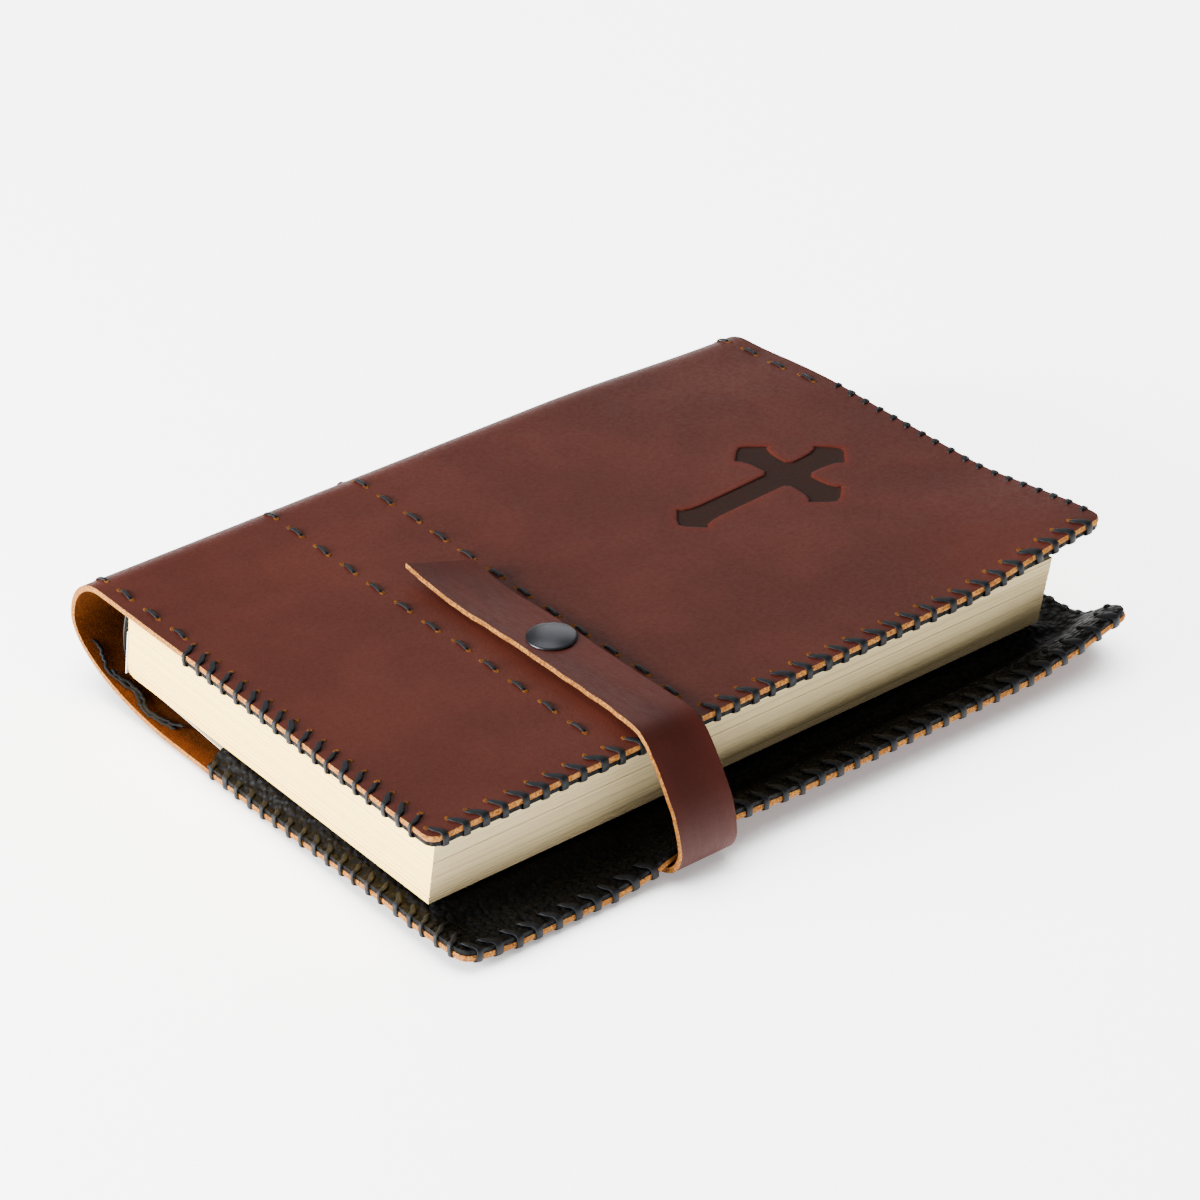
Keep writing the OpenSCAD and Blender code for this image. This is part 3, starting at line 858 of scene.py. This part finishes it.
class Cover:
    """The leather cover and its two pockets."""

    INSET = 0.15
    HIDE = (COVER, SUEDE, EDGE)

    def build(self) -> None:
        """Makes the two halves of the hide and both pockets."""
        self.front_hide().bend(COVER_BEND)
        self.back_hide().ride(ROOT)
        self.front_pocket().ride(FRONT)
        self.back_pocket().ride(ROOT)

    def front_hide(self) -> Piece:
        """The front half, from the middle of the spine to the front's fore-edge."""
        cross = Cross()
        near_cross = ((49.0, 99.0, 0.65), (147.0, 222.0, 0.65))
        outer, normal = FRONT_HIDE.at(*panel(FRONT_HIDE.start, S.front_x, (2.0, 2.2), fine=near_cross))
        away = cross.distance(outer[..., 0], outer[..., 1])
        inner = outer - normal * S.leather
        outer = outer - normal * (cross.depth * smooth(0.5 - away / 0.9))[..., None]
        nodes = ("front_leather", "spine_leather")
        return sheet("cover_front_hide", outer, inner, self.HIDE, "cover_leather", nodes, marks={"mark": away})

    def back_hide(self) -> Piece:
        """The back half, from the middle of the spine to the back's fore-edge."""
        outer, normal = BACK_HIDE.at(*panel(BACK_HIDE.start, S.back_x, (2.0, 2.0)))
        inner = outer - normal * S.leather
        marks = {"mark": np.full(outer.shape[:2], Cross.FAR_OFF)}
        return sheet("cover_back_hide", outer, inner, self.HIDE, "cover_leather", ("back_leather",), marks=marks)

    def front_pocket(self) -> Piece:
        """The front pocket, under the front leather."""
        gu, gy = panel(S.front_mouth, S.front_x, (2.5, 2.5), self.INSET)
        points, normal = FRONT_HIDE.at(gu, gy)
        inside = smooth((S.leaf_w + S.lean + 1.5 - gu) / 2.5)
        inside = inside * smooth((gy + 2.5) / 2.4) * smooth((S.leaf_h + 2.5 - gy) / 2.4)
        top = points - normal * (S.leather + 0.02 + 0.6 * inside)[..., None]
        low = top - normal * (S.lining - 0.05)
        finishes = (SUEDE, POCKET, POCKET)
        return sheet("front_pocket", top, low, finishes, "pocket_leather", ("front_lining",), 0.1)

    def back_pocket(self) -> Piece:
        """The back pocket, lying on the back leather and over the book's back card."""
        gu, gy = panel(S.back_mouth, S.back_x, (2.0, 1.7), self.INSET)
        points, normal = BACK_HIDE.at(gu, gy)
        low = points - normal * (S.leather + 0.02)
        inside = smooth((S.leaf_w + 9.0 - gu) / 8.0)
        inside = inside * smooth((gy + 3.6) / 3.5) * smooth((S.leaf_h + 9.0 - gy) / 8.5)
        rise = np.clip(S.pocket_z - low[..., 2], 0, None) * inside
        creases = 0.25 * (1 + waves(gu, gy, 11, 22.0)) * smooth((gu - S.leaf_w) / 6.0)
        creases = creases * smooth((S.back_x - 5 - gu) / 4.0)
        low[..., 2] += rise + creases
        top = low - normal * (S.lining - 0.1)
        return sheet("back_pocket", top, low, (POCKET, SUEDE, POCKET), "pocket_leather", ("back_lining",), 0.15)


# ---------------------------------------------------------------- the book


class Book:
    """The leaves and the card cover."""

    ACROSS, ALONG = 26, 30
    CARD_LINES = 60

    def build(self) -> None:
        """Makes the fixed leaves, the four turning sections and the card."""
        self.leaves("page_block", S.block_z, S.fixed_top, 0.5, ("text_block",), 21).ride(ROOT)
        for i, (top, t) in enumerate(zip(S.section_tops, S.section_t), start=1):
            bend = Bend(ROOT, f"leaves_{i}", (1.0, 0.0, top), (24.0, 0.0, top))
            self.leaves(f"page_section_{i}", top - t, top, 0.36, (f"leaf_section_{i}",), 30 + i).bend(bend)
        self.spine_card()
        self.front_card()

    def leaves(
        self, name: str, low: float, high: float, layer: float, stands_for: tuple[str, ...], seed: int
    ) -> Piece:
        """A stack of leaves whose edges lie a little unevenly.

        Args:
            name: Name of the piece.
            low: Its underside.
            high: Its top.
            layer: Thickness of one uneven layer.
            stands_for: CAD nodes that it stands for.
            seed: Seed of the unevenness.

        Returns:
            The piece.
        """
        rng = np.random.default_rng(seed)
        count = max(2, int(round((high - low) / layer)))
        edges = np.linspace(low, high, count + 1)
        levels = np.repeat(edges, 2)[1:-1]
        shift = np.repeat(rng.normal(0, 0.07, (count, 3)), 2, 0)
        gx, gy = np.meshgrid(np.linspace(0, 1, self.ACROSS), np.linspace(0, 1, self.ALONG), indexing="ij")
        index = np.arange(gx.size).reshape(gx.shape)
        ring = border(index)
        on_fore_edge = np.zeros(len(ring), bool)
        on_fore_edge[self.ACROSS - 1 : self.ACROSS + self.ALONG - 2] = True
        grids = []
        for z, (dx, dy0, dy1) in zip(levels, shift):
            lean = S.lean * (z - S.block_z) / (S.block_top - S.block_z)
            round_low = 3.5 * (1 - math.sqrt(max(0.0, 1 - max(0.0, 1 - (z - S.block_z) / 5.0) ** 2)))
            x0 = lean * 0.9 + round_low + 0.05
            x1 = S.leaf_w + lean - 0.25 + dx
            y0, y1 = 0.25 + dy0, S.leaf_h - 0.25 + dy1
            flat = [x0 + (x1 - x0) * gx, y0 + (y1 - y0) * gy, np.full(gx.shape, z)]
            grids.append(np.stack(flat, -1).reshape(-1, 3))
        rings = np.concatenate([g[ring] for g in grids])
        n, m = len(ring), len(levels)
        k, nxt = np.arange(n), (np.arange(n) + 1) % n
        faces, sides = [], []
        for i in range(m - 1):
            faces.append(np.stack([i * n + k, i * n + nxt, (i + 1) * n + nxt, (i + 1) * n + k], 1))
            # The fore-edge faces take the second finish, the darker copy of the paper, as painted shade.
            sides.append(on_fore_edge.astype(int))
        points = [rings]
        inner = np.setdiff1d(index.ravel(), ring)
        base = n * m
        for level, grid in ((0, grids[0]), (m - 1, grids[-1])):
            where = np.zeros(gx.size, int)
            where[ring] = level * n + k
            where[inner] = base + np.arange(len(inner))
            base += len(inner)
            points.append(grid[inner])
            faces.append(quads(where.reshape(gx.shape)))
            sides.append(np.full(len(faces[-1]), 2))
        return Piece(
            name,
            np.concatenate(points),
            np.concatenate(faces).tolist(),
            np.concatenate(sides).tolist(),
            (PAPER, PAPER_SIDE_SHADED, PAGE),
            "paper",
            stands_for,
            sharp=30.0,
        ).build()

    def _strip(
        self,
        name: str,
        section: Sequence[Sequence[float]],
        stands_for: tuple[str, ...],
        lift: Callable | None = None,
        inside: Finish = CARD_INSIDE_SHADED,
    ) -> Piece:
        """Thin card along y from a section of its outside in x and z.

        Args:
            name: Name of the piece.
            section: Points of the section in mm.
            stands_for: CAD nodes that it stands for.
            lift: Rise of the card at x and y.
            inside: Finish of its inner side and edges.

        Returns:
            The piece.
        """
        path = curve(section, 2.5)
        tangent = unit(np.gradient(path, axis=0))
        normal = np.stack([-tangent[:, 1], tangent[:, 0]], 1)
        n = self.CARD_LINES
        y = np.linspace(1.2, S.leaf_h - 1.2, n)
        outer = np.stack([np.repeat(path[:, :1], n, 1), np.tile(y, (len(path), 1)), np.repeat(path[:, 1:], n, 1)], -1)
        inner = outer - np.stack([normal[:, 0], np.zeros(len(path)), normal[:, 1]], -1)[:, None, :] * (S.card - 0.02)
        if lift:
            rise = lift(outer[..., 0], outer[..., 1])
            outer[..., 2] += rise
            inner[..., 2] += rise
        return sheet(name, outer, inner, (CARD, inside, inside), "cover_card", stands_for, 0.02)

    def spine_card(self) -> None:
        """The back card, and the card round the spine, whose white inner side is painted black as shade in the gap
        behind the leaves.
        """
        back = [(S.leaf_w - 0.2, 5.4), (100.0, 5.4), (58.0, 5.4), (46.0, 5.7)]
        back += [(30.0, 6.8), (14.0, 7.6), (6.0, 7.9), (3.0, 8.1)]
        spine = [(3.0, 8.1), (0.3, 9.2), (-1.6, 11.5), (-2.3, 16.0)]
        spine += [(-1.7, 22.0), (0.2, 28.5), (2.2, 33.0), (3.4, 35.0)]
        self._strip("card_back", back, ("back_card",)).ride(ROOT)
        # Painted shade: the spine card's inner side and edges take the black outside finish, though the real card is
        # white inside.
        self._strip("card_spine", spine, ("spine_card",), inside=CARD).ride(ROOT)

    def front_card(self) -> None:
        """The front card."""
        z = S.front_card_z + S.card
        section = [(3.6, z - 0.3), (8.0, z), (40.0, z), (90.0, z), (S.leaf_w + S.lean - 0.3, z)]
        self._strip("card_front", section, ("front_card",), lambda x, y: front_lift(x, y) * 0.98).bend(CARD_BEND)


# ---------------------------------------------------------------- stitches


@dataclass
class Spots:
    """Places where a stitch or a hole is set: a point and its three directions."""

    points: list = field(default_factory=list)
    turns: list = field(default_factory=list)

    def add(self, point: np.ndarray, ahead: Sequence[float], normal: np.ndarray) -> None:
        """Adds one place, its X direction near ahead and its Z direction the normal."""
        z = Vector(normal).normalized()
        x = Vector(ahead)
        x = (x - z * x.dot(z)).normalized()
        self.points.append(point)
        self.turns.append(Matrix((x, z.cross(x), z)).transposed().to_quaternion())


class Repeater:
    """Sets copies of one small shape at many places with Geometry Nodes."""

    INPUTS = {
        "Geometry": "Geometry",
        "Shape": "Object",
        "Finish": "Material",
        "Wobble": "Float",
        "Stretch": "Float",
        "Seed": "Int",
    }

    def __init__(self) -> None:
        """Builds the node tree once."""
        tree = bpy.data.node_groups.new("set_copies", "GeometryNodeTree")
        face = tree.interface
        self.sockets = {}
        for name, kind in self.INPUTS.items():
            self.sockets[name] = face.new_socket(name, in_out="INPUT", socket_type=f"NodeSocket{kind}").identifier
        face.new_socket("Geometry", in_out="OUTPUT", socket_type="NodeSocketGeometry")
        given = add_node(tree, "NodeGroupInput").outputs

        def math_node(operation: str, a: object, b: object) -> Socket:
            """One step of arithmetic."""
            return add_node(tree, "ShaderNodeMath", {0: a, 1: b}, operation=operation).outputs[0]

        def random(low: Socket, high: Socket) -> Socket:
            """A random value for each place, between low and high."""
            inputs = {2: low, 3: high, "Seed": given["Seed"]}
            return add_node(tree, "FunctionNodeRandomValue", inputs, data_type="FLOAT").outputs[1]

        tilt = random(math_node("MULTIPLY", given["Wobble"], -1.0), given["Wobble"])
        turn = add_node(tree, "FunctionNodeAxisAngleToRotation", {"Axis": (0.0, 0.0, 1.0), "Angle": tilt}).outputs[0]
        named = add_node(tree, "GeometryNodeInputNamedAttribute", {"Name": "facing"}, data_type="QUATERNION")
        facing = named.outputs["Attribute"]
        both = add_node(tree, "FunctionNodeRotateRotation", {0: facing, 1: turn}, rotation_space="LOCAL").outputs[0]
        size = random(math_node("SUBTRACT", 1.0, given["Stretch"]), math_node("ADD", 1.0, given["Stretch"]))
        scale = add_node(tree, "ShaderNodeCombineXYZ", {0: 1.0, 1: size, 2: 1.0}).outputs[0]
        info = add_node(tree, "GeometryNodeObjectInfo", {"Object": given["Shape"]}, transform_space="ORIGINAL")
        inputs = {"Points": given["Geometry"], "Instance": info.outputs["Geometry"], "Rotation": both, "Scale": scale}
        placed = add_node(tree, "GeometryNodeInstanceOnPoints", inputs).outputs[0]
        real = add_node(tree, "GeometryNodeRealizeInstances", {0: placed}).outputs[0]
        done = add_node(tree, "GeometryNodeSetMaterial", {"Geometry": real, "Material": given["Finish"]}).outputs[0]
        add_node(tree, "NodeGroupOutput", {0: done})
        self.tree = tree

    def copies(
        self, shape: Shape, spots: Spots, finish: Finish, seed: int, wobble: float, stretch: float = 0.0
    ) -> bpy.types.Mesh:
        """A mesh of copies of a shape.

        Args:
            shape: Points in mm and faces.
            spots: Where the copies go.
            finish: Their finish.
            seed: Seed of the wobble.
            wobble: Largest turn off line, in degrees.
            stretch: Largest change of length, as a share.

        Returns:
            The mesh.
        """
        base = bpy.data.meshes.new("stitch_shape")
        base.from_pydata((shape[0] / 1000.0).tolist(), [], shape[1])
        shade_smooth(base)
        one = linked("stitch_shape", base)
        cloud = bpy.data.meshes.new("stitch_places")
        cloud.from_pydata(LAYOUT.place(spots.points).tolist(), [], [])
        facing = cloud.attributes.new("facing", "QUATERNION", "POINT")
        facing.data.foreach_set("value", np.array([[q.w, q.x, q.y, q.z] for q in spots.turns], np.float32).ravel())
        many = linked("stitch_places", cloud)
        modifier = many.modifiers.new("copies", "NODES")
        modifier.node_group = self.tree
        values = (one, finish.material(), math.radians(wobble), stretch, seed)
        for name, value in zip(("Shape", "Finish", "Wobble", "Stretch", "Seed"), values):
            modifier[self.sockets[name]] = value
        mesh = bpy.data.meshes.new_from_object(many.evaluated_get(bpy.context.evaluated_depsgraph_get()))
        many.modifiers.clear()
        for obj in (one, many):
            bpy.data.objects.remove(obj)
        shade_smooth(mesh)
        return mesh


def joined(name: str, meshes: Sequence[bpy.types.Mesh], finishes: Sequence[Finish]) -> bpy.types.Object:
    """One object from several meshes, each with its finish.

    Args:
        name: Name of the object.
        meshes: Its parts.
        finishes: A finish for each part.

    Returns:
        The object, not yet on a body.
    """
    made = bpy.data.meshes.new(name)
    points, faces, sides, base = [], [], [], 0
    for finish in finishes:
        made.materials.append(finish.material())
    for slot_at, mesh in enumerate(meshes):
        points += [tuple(v.co) for v in mesh.vertices]
        faces += [[base + i for i in p.vertices] for p in mesh.polygons]
        sides += [slot_at] * len(mesh.polygons)
        base += len(mesh.vertices)
    made.from_pydata(points, [], faces)
    made.polygons.foreach_set("material_index", sides)
    shade_smooth(made)
    obj = linked(name, made)
    LOG.info("%s: %d faces", name, len(faces))
    return obj


@dataclass(frozen=True)
class Whip:
    """One stitch whipped over an edge; X points out over the edge."""

    slant: float
    width: float
    reach: float
    thick: float

    def shape(self) -> Shape:
        """The thread from its hole, over the edge and under, in mm."""
        d, s, t = self.reach, self.slant, self.thick
        over = [(-d, -s * 0.5, -0.3), (-d + 0.5, -s * 0.48, 0.25), (-d * 0.68, -s * 0.33, 0.42)]
        over += [(-d * 0.32, s * 0.3, 0.36), (-0.3, s * 0.45, 0.34), (0.5, s * 0.5, -0.15)]
        under = [(0.62, s * 0.52, -t / 2), (0.5, s * 0.54, -t + 0.15), (-0.3, s * 0.5, -t - 0.34)]
        under += [(-d * 0.76, s * 0.1, -t - 0.34), (-d * 0.94, 0.0, -t - 0.2)]
        path = curve(over + under, 0.9)
        tangent = unit(np.gradient(path, axis=0))
        side = unit(np.cross(tangent, np.cross(np.tile([0.0, 1.0, 0.0], (len(path), 1)), tangent)))
        normal = np.cross(side, tangent)
        wide = self.width / 2 * (0.55 + 0.45 * smooth((path[:, 0] + d) / (0.6 * d)))
        return tube(path, side, normal, wide, np.full(len(path), S.thread_t / 2))


def run_stitch(length: float) -> Shape:
    """One running stitch along X, its ends dipping into their holes."""
    h = length / 2
    points = [(-h, 0, -0.45), (-h + 0.45, 0.03, 0.15), (-h + 1.3, 0.1, 0.42), (0, 0.05, 0.5)]
    points += [(h - 1.3, -0.1, 0.42), (h - 0.45, -0.03, 0.15), (h, 0, -0.45)]
    return ribbon(curve(points, 0.8), S.thread_w, S.thread_t, (0, 0, 1))


def hole(long: float, wide: float) -> Shape:
    """A low raised rim round a hole, as a flat dome."""
    points, faces = lathe([(0, 0.1), (0.45, 0.12), (0.8, 0.09), (1.0, -0.1), (0, -0.1)], (0, 0), 12)
    return points * np.array([long / 2, wide / 2, 1.0]), faces


class Stitching:
    """All the thread."""

    WHIP_STEPS = (6.5, 6.8, 6.6)
    FRONT_FROM, BACK_FROM = 41.0, 51.0
    STRAP_GAP = (64.5, 91.5)
    LONG_ROWS = ((59.0, 6.5, 158.0), (90.9, 8.5, 150.0))
    SHORT_ROWS = (0.0, 239.0)
    SHORT_STEP = 14.0
    STRAP_ROWS = 7.0

    def __init__(self) -> None:
        """Gets the repeater ready."""
        self.repeat = Repeater()

    def edge_spots(
        self, hide: Hide, mouth: float, end: float, skip: tuple[float, float] = (0.0, 0.0), flip: bool = False
    ) -> tuple[Spots, Spots, Spots]:
        """Places of the whipstitches round a panel.

        Args:
            hide: The panel's half of the cover.
            mouth: Where the rows begin.
            end: The panel's fore-edge.
            skip: Stretch of the fore-edge without stitches.
            flip: True to set them from the inner side.

        Returns:
            Places along the tail, the fore-edge and the head.
        """
        tail, fore, head = Spots(), Spots(), Spots()
        rng = np.random.default_rng(7 if flip else 6)

        def put(spots: Spots, x: float, y: float, out: tuple[float, float, float]) -> None:
            """Adds one place on the edge."""
            point, normal = hide.at(x, y)
            if flip:
                point, normal = point - normal * (S.leather + S.lining - 0.1), -normal
            spots.add(point, out, normal)

        for x in np.arange(mouth, end - 4.0, self.WHIP_STEPS[0]):
            put(tail, x + rng.normal(0, 0.2), S.tail_y, (0, -1, 0))
        for y in np.arange(S.tail_y + 3.5, S.head_y - 2.5, self.WHIP_STEPS[1]):
            if not skip[0] < y < skip[1]:
                put(fore, end, y + rng.normal(0, 0.2), (1, 0, 0))
        for x in np.arange(end - 7.0, mouth - 1.0, -self.WHIP_STEPS[2]):
            put(head, x + rng.normal(0, 0.2), S.head_y, (0, 1, 0))
        return tail, fore, head

    def whip(
        self, name: str, spots: tuple[Spots, Spots, Spots], stands_for: str, body: str, seed: int, rim: Finish
    ) -> None:
        """The whipstitches of one panel and their holes.

        Args:
            name: Name of the piece.
            spots: Places along the tail, the fore-edge and the head.
            stands_for: CAD node that it stands for.
            body: Body that carries it.
            seed: Seed of the unevenness.
            rim: Finish of the holes' rims.
        """
        meshes = []
        thick = S.leather + S.lining
        for spot, size in zip(spots, S.whips):
            meshes.append(self.repeat.copies(Whip(*size, thick).shape(), spot, THREAD, seed, 7.0, 0.25))
        rims = Spots()
        for spot, (slant, _, reach) in zip(spots[:2], S.whips):
            for point, turn in zip(spot.points, spot.turns):
                x, y, z = turn @ Vector((1, 0, 0)), turn @ Vector((0, 1, 0)), turn @ Vector((0, 0, 1))
                rims.add(np.array(point) - np.array(x) * (reach + 0.15) - np.array(y) * slant * 0.5, x, np.array(z))
        meshes.append(self.repeat.copies(hole(2.4, 1.9), rims, rim, seed, 12.0))
        obj = joined(name, meshes, (THREAD, THREAD, THREAD, rim))
        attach(obj, body)
        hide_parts(stands_for)

    def rows(self) -> None:
        """The running stitches over the spine and across the front."""
        spots, rims = Spots(), Spots()
        rng = np.random.default_rng(3)

        def run(y: float, centres: Iterable[float]) -> None:
            """Adds one row of stitches with a hole at each end."""
            for u in centres:
                v = y + rng.normal(0, 0.15)
                point, normal = FRONT_HIDE.at(u, v)
                ahead = np.array(FRONT_HIDE.at(u + 0.5, v)[0]) - np.array(FRONT_HIDE.at(u - 0.5, v)[0])
                spots.add(point, ahead, normal)
                for s in (-1, 1):
                    p, n = FRONT_HIDE.at(u + s * (S.run_len / 2 + 0.25), v)
                    rims.add(p, ahead, n)

        for y, first, last in self.LONG_ROWS:
            run(y, np.arange(first - S.run_step * 3, last, S.run_step))
        for y in self.SHORT_ROWS:
            run(y, np.arange(4.0 - self.SHORT_STEP * 2, 34.0, self.SHORT_STEP))
        meshes = [
            self.repeat.copies(run_stitch(S.run_len), spots, THREAD, 9, 5.0),
            self.repeat.copies(hole(2.8, 1.9), rims, RIM, 9, 9.0),
        ]
        obj = joined("running_stitches", meshes, (THREAD, RIM))
        LAYOUT.at(*COVER_BEND.start)
        LAYOUT.at(*COVER_BEND.end)
        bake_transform(obj)
        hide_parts("front_running_stitches", "spine_stitches")

    def strap_rows(self) -> None:
        """The two rows that hold the strap under the back panel, seen inside the cover."""
        spots = Spots()
        for y in (S.strap_y - self.STRAP_ROWS, S.strap_y + self.STRAP_ROWS):
            for x in np.arange(106.0, 150.0, S.run_step):
                point, normal = BACK_HIDE.at(x, y)
                spots.add(point - normal * (S.leather - 0.1), (1, 0, 0), -normal)
        rows = self.repeat.copies(run_stitch(7.0), spots, THREAD, 12, 4.0)
        obj = joined("strap_stitches_thread", [rows], (THREAD,))
        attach(obj, ROOT)
        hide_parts("strap_stitches")

    def loose_thread(self) -> None:
        """The slack thread on the flesh side of the spine at the tail."""
        rng = np.random.default_rng(15)
        threads = ((BACK_HIDE.start + 10, 27.0, 0.0, 0.0), (-6.0, 31.0, 1.3, 0.9))
        for number, (start, end, side, rise) in enumerate(threads, start=1):
            u = np.linspace(start, end, 46)
            y = -2.4 + side * 0.8 + 1.1 * np.sin(u / 3.3) + rng.normal(0, 0.25, len(u))
            point, normal = BACK_HIDE.at(u, y)
            lift = 0.45 + rise * 0.3 + 2.4 * smooth((u - end + 6) / 6.0) * (number == 2)
            path = curve(point - normal * (S.leather + lift)[:, None], 1.0)
            points, faces = ribbon(path, 1.35, 0.8, (0, 0.15, 1))
            name = f"slack_thread_{number}"
            Piece(name, points, faces, [0] * len(faces), (THREAD,), "waxed_thread", sharp=60.0).build().ride(ROOT)

    def build(self) -> None:
        """Makes every row."""
        front = self.edge_spots(FRONT_HIDE, self.FRONT_FROM, S.front_x)
        back = self.edge_spots(BACK_HIDE, self.BACK_FROM, S.back_x, self.STRAP_GAP, True)
        self.whip("front_whip_thread", front, "front_whipstitch", FRONT, 2, RIM)
        self.whip("back_whip_thread", back, "back_whipstitch", ROOT, 5, DARK_RIM)
        self.rows()
        self.strap_rows()
        self.loose_thread()


# ---------------------------------------------------------------- strap and snap


class Strap:
    """The strap, in two lengths that meet between its bends, and the snap."""

    OUTSIDE = [
        (99.0, 0.2), (130.0, 0.2), (160.0, 0.2), (166.0, 0.25), (170.5, 0.6), (174.8, 1.9),
        (178.4, 4.4), (180.9, 8.0), (181.7, 12.6), (180.6, 18.4), (177.8, 24.4), (173.6, 30.2),
        (169.2, 35.3), (165.2, 39.2), (161.0, 41.4), (155.0, 42.1), (141.0, 41.9), (120.0, 41.8),
        (107.0, 41.9), (95.0, 41.6), (77.0, 40.9), (61.0, 41.7), (49.5, 43.2),
    ]
    SPLIT = 27.0
    LEAN, TAPER = 2.2, 0.9
    TIP, TIP_CUT = 34.0, 10.5

    def build(self) -> None:
        """Makes both lengths and the snap."""
        path = curve(self.OUTSIDE, 1.4)
        rising = (path[:, 0] > 168) & (path[:, 1] < self.SPLIT)
        cut = int(np.max(np.nonzero(rising)))
        self.length("strap_lower", path, slice(0, cut + 1), ("strap_tail", "strap_riser")).bend(LOW_BEND)
        self.length("strap_upper", path, slice(cut, len(path)), ("strap_tongue",)).bend(TOP_BEND)
        self.snap()

    def length(self, name: str, path: np.ndarray, part: slice, stands_for: tuple[str, ...]) -> Piece:
        """One length of the strap.

        Args:
            name: Name of the piece.
            path: The whole outside in x and z.
            part: The stretch that this length takes.
            stands_for: CAD nodes that it stands for.

        Returns:
            The piece.
        """
        tangent = unit(np.gradient(path, axis=0))
        way = np.concatenate([[0], np.cumsum(np.linalg.norm(np.diff(path, axis=0), axis=1))])
        normal = np.stack([tangent[:, 1], -tangent[:, 0]], 1)
        across = np.linspace(-1, 1, 15)
        w, v = np.meshgrid(way, across, indexing="ij")
        turn = way[np.argmax(path[:, 0])]
        skew = -self.LEAN * smooth(1 - np.abs(way - turn) / 55.0)
        half = S.strap_w / 2 - self.TAPER * smooth((w - turn - 30.0) / 30.0)
        half = half + 0.18 * waves(w, v * 40, 17, 9.0) + 0.1 * waves(w, v * 60, 18, 3.5)
        trim = 1.3 * smooth((w - turn - 25.0) / 20.0) * (v + 1) / 2
        y = S.strap_y + skew[:, None] + v * half - trim
        tip = np.clip((w - way[-1] + self.TIP) / self.TIP, 0, 1) ** 1.4
        x = path[:, :1] + tip * (v + 1) / 2 * self.TIP_CUT
        cup = 0.35 * (v**2) * smooth((w - 100) / 20.0)
        z = np.repeat(path[:, 1:], len(across), 1) + cup + 0.12 * waves(w, v * 20, 19, 26.0) * smooth((w - 90) / 10.0)
        outer = np.stack([x, y, z], -1)
        thick = np.stack([normal[:, 0], np.zeros(len(path)), normal[:, 1]], -1)[:, None, :] * (S.leather - 0.1)
        inner = outer - thick
        return sheet(name, outer[part], inner[part], (STRAP, SUEDE, EDGE), "strap_leather", stands_for, 0.18)

    def snap(self) -> None:
        """The domed cap, and the plain metal parts under it."""
        r, base = S.snap_r, S.snap_z
        rim = [(r - 0.4, -0.1), (r - 0.05, 0.05), (r, 0.35), (r - 0.2, 0.62), (r - 0.75, 0.8), (r - 1.6, 1.05)]
        dome = [(r * 0.62, 1.38), (r * 0.35, 1.6), (r * 0.12, 1.7)]
        profile = [(x, base + z) for x, z in [(0, -0.1), *rim, *dome, (0, 1.71)]]
        points, faces = lathe(profile, (S.snap_x, S.strap_y + 0.6))
        sides = [0] * len(faces)
        cap = Piece("snap_cap_dome", points, faces, sides, (METAL,), "snap_metal", ("snap_cap",), sharp=60.0)
        cap.build().ride(TONGUE)
        plain = [(name, METAL, "snap_metal") for name in ("snap_socket", "snap_stud", "snap_eyelet")]
        for name, finish, slot in [*plain, ("spine_glue", GLUE, "spine_glue")]:
            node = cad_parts[name]
            node.data.materials.clear()
            node.data.materials.append(finish.material())


# ---------------------------------------------------------------- camera, floor and light


class Studio:
    """The camera, the floor and the lights."""

    LENS = 129.43
    DISTANCE = 1.29006
    AIM = (-0.00381, 0.00032, 0.02357)
    RIGHT = (0.61871, 0.78547, -0.01529)
    UP = (-0.40760, 0.33758, 0.84847)
    BACK = (0.67161, -0.51873, 0.52902)
    WORLD = 0.42
    FLOOR_HALF = 4.0
    LAMPS = (
        ("key", (-0.45, -1.25, 0.38), 0.7, 95.0),
        ("top", (-0.5, 0.1, 1.3), 0.8, 7.0),
        ("back", (-0.9, 0.9, 0.7), 0.8, 5.0),
    )

    def camera(self) -> None:
        """The camera, with a long lens, above the tail and fore-edge corner."""
        data = bpy.data.cameras.new("camera")
        data.lens, data.sensor_width = self.LENS, 36.0
        camera = linked("camera", data)
        turn = Matrix((self.RIGHT, self.UP, self.BACK)).transposed().to_4x4()
        spot = Vector(self.AIM) + Vector(self.BACK) * self.DISTANCE
        camera.matrix_world = Matrix.Translation(spot) @ turn
        bpy.context.scene.camera = camera

    def light(self, name: str, spot: tuple[float, float, float], size: float, power: float) -> None:
        """A soft square light that faces the book.

        Args:
            name: Name of the light.
            spot: Where it hangs, in metres.
            size: Its side.
            power: Its power in watts.
        """
        data = bpy.data.lights.new(name, "AREA")
        data.size, data.energy = size, power
        lamp = linked(name, data)
        lamp.location = spot
        lamp.rotation_euler = Vector(spot).to_track_quat("Z", "Y").to_euler()

    def build(self) -> None:
        """Sets out the floor and the lights."""
        z = LAYOUT.at(0, 0, 0)[2]
        mesh = bpy.data.meshes.new("floor")
        h = self.FLOOR_HALF
        mesh.from_pydata([(-h, -h, z), (h, -h, z), (h, h, z), (-h, h, z)], [], [(0, 1, 2, 3)])
        mesh.materials.append(FLOOR.material())
        floor = linked("floor", mesh)
        world = bpy.data.worlds.new("studio")
        world.use_nodes = True
        world.node_tree.nodes["Background"].inputs["Color"].default_value = (1, 1, 1, 1)
        world.node_tree.nodes["Background"].inputs["Strength"].default_value = self.WORLD
        bpy.context.scene.world = world
        for lamp in self.LAMPS:
            self.light(*lamp)


def main() -> None:
    """Builds the whole book in order."""
    logging.basicConfig(level=logging.INFO, format="%(message)s")
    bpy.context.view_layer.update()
    studio = Studio()
    studio.camera()
    Cover().build()
    Book().build()
    Stitching().build()
    Strap().build()
    studio.build()


if __name__ == "__main__":
    main()
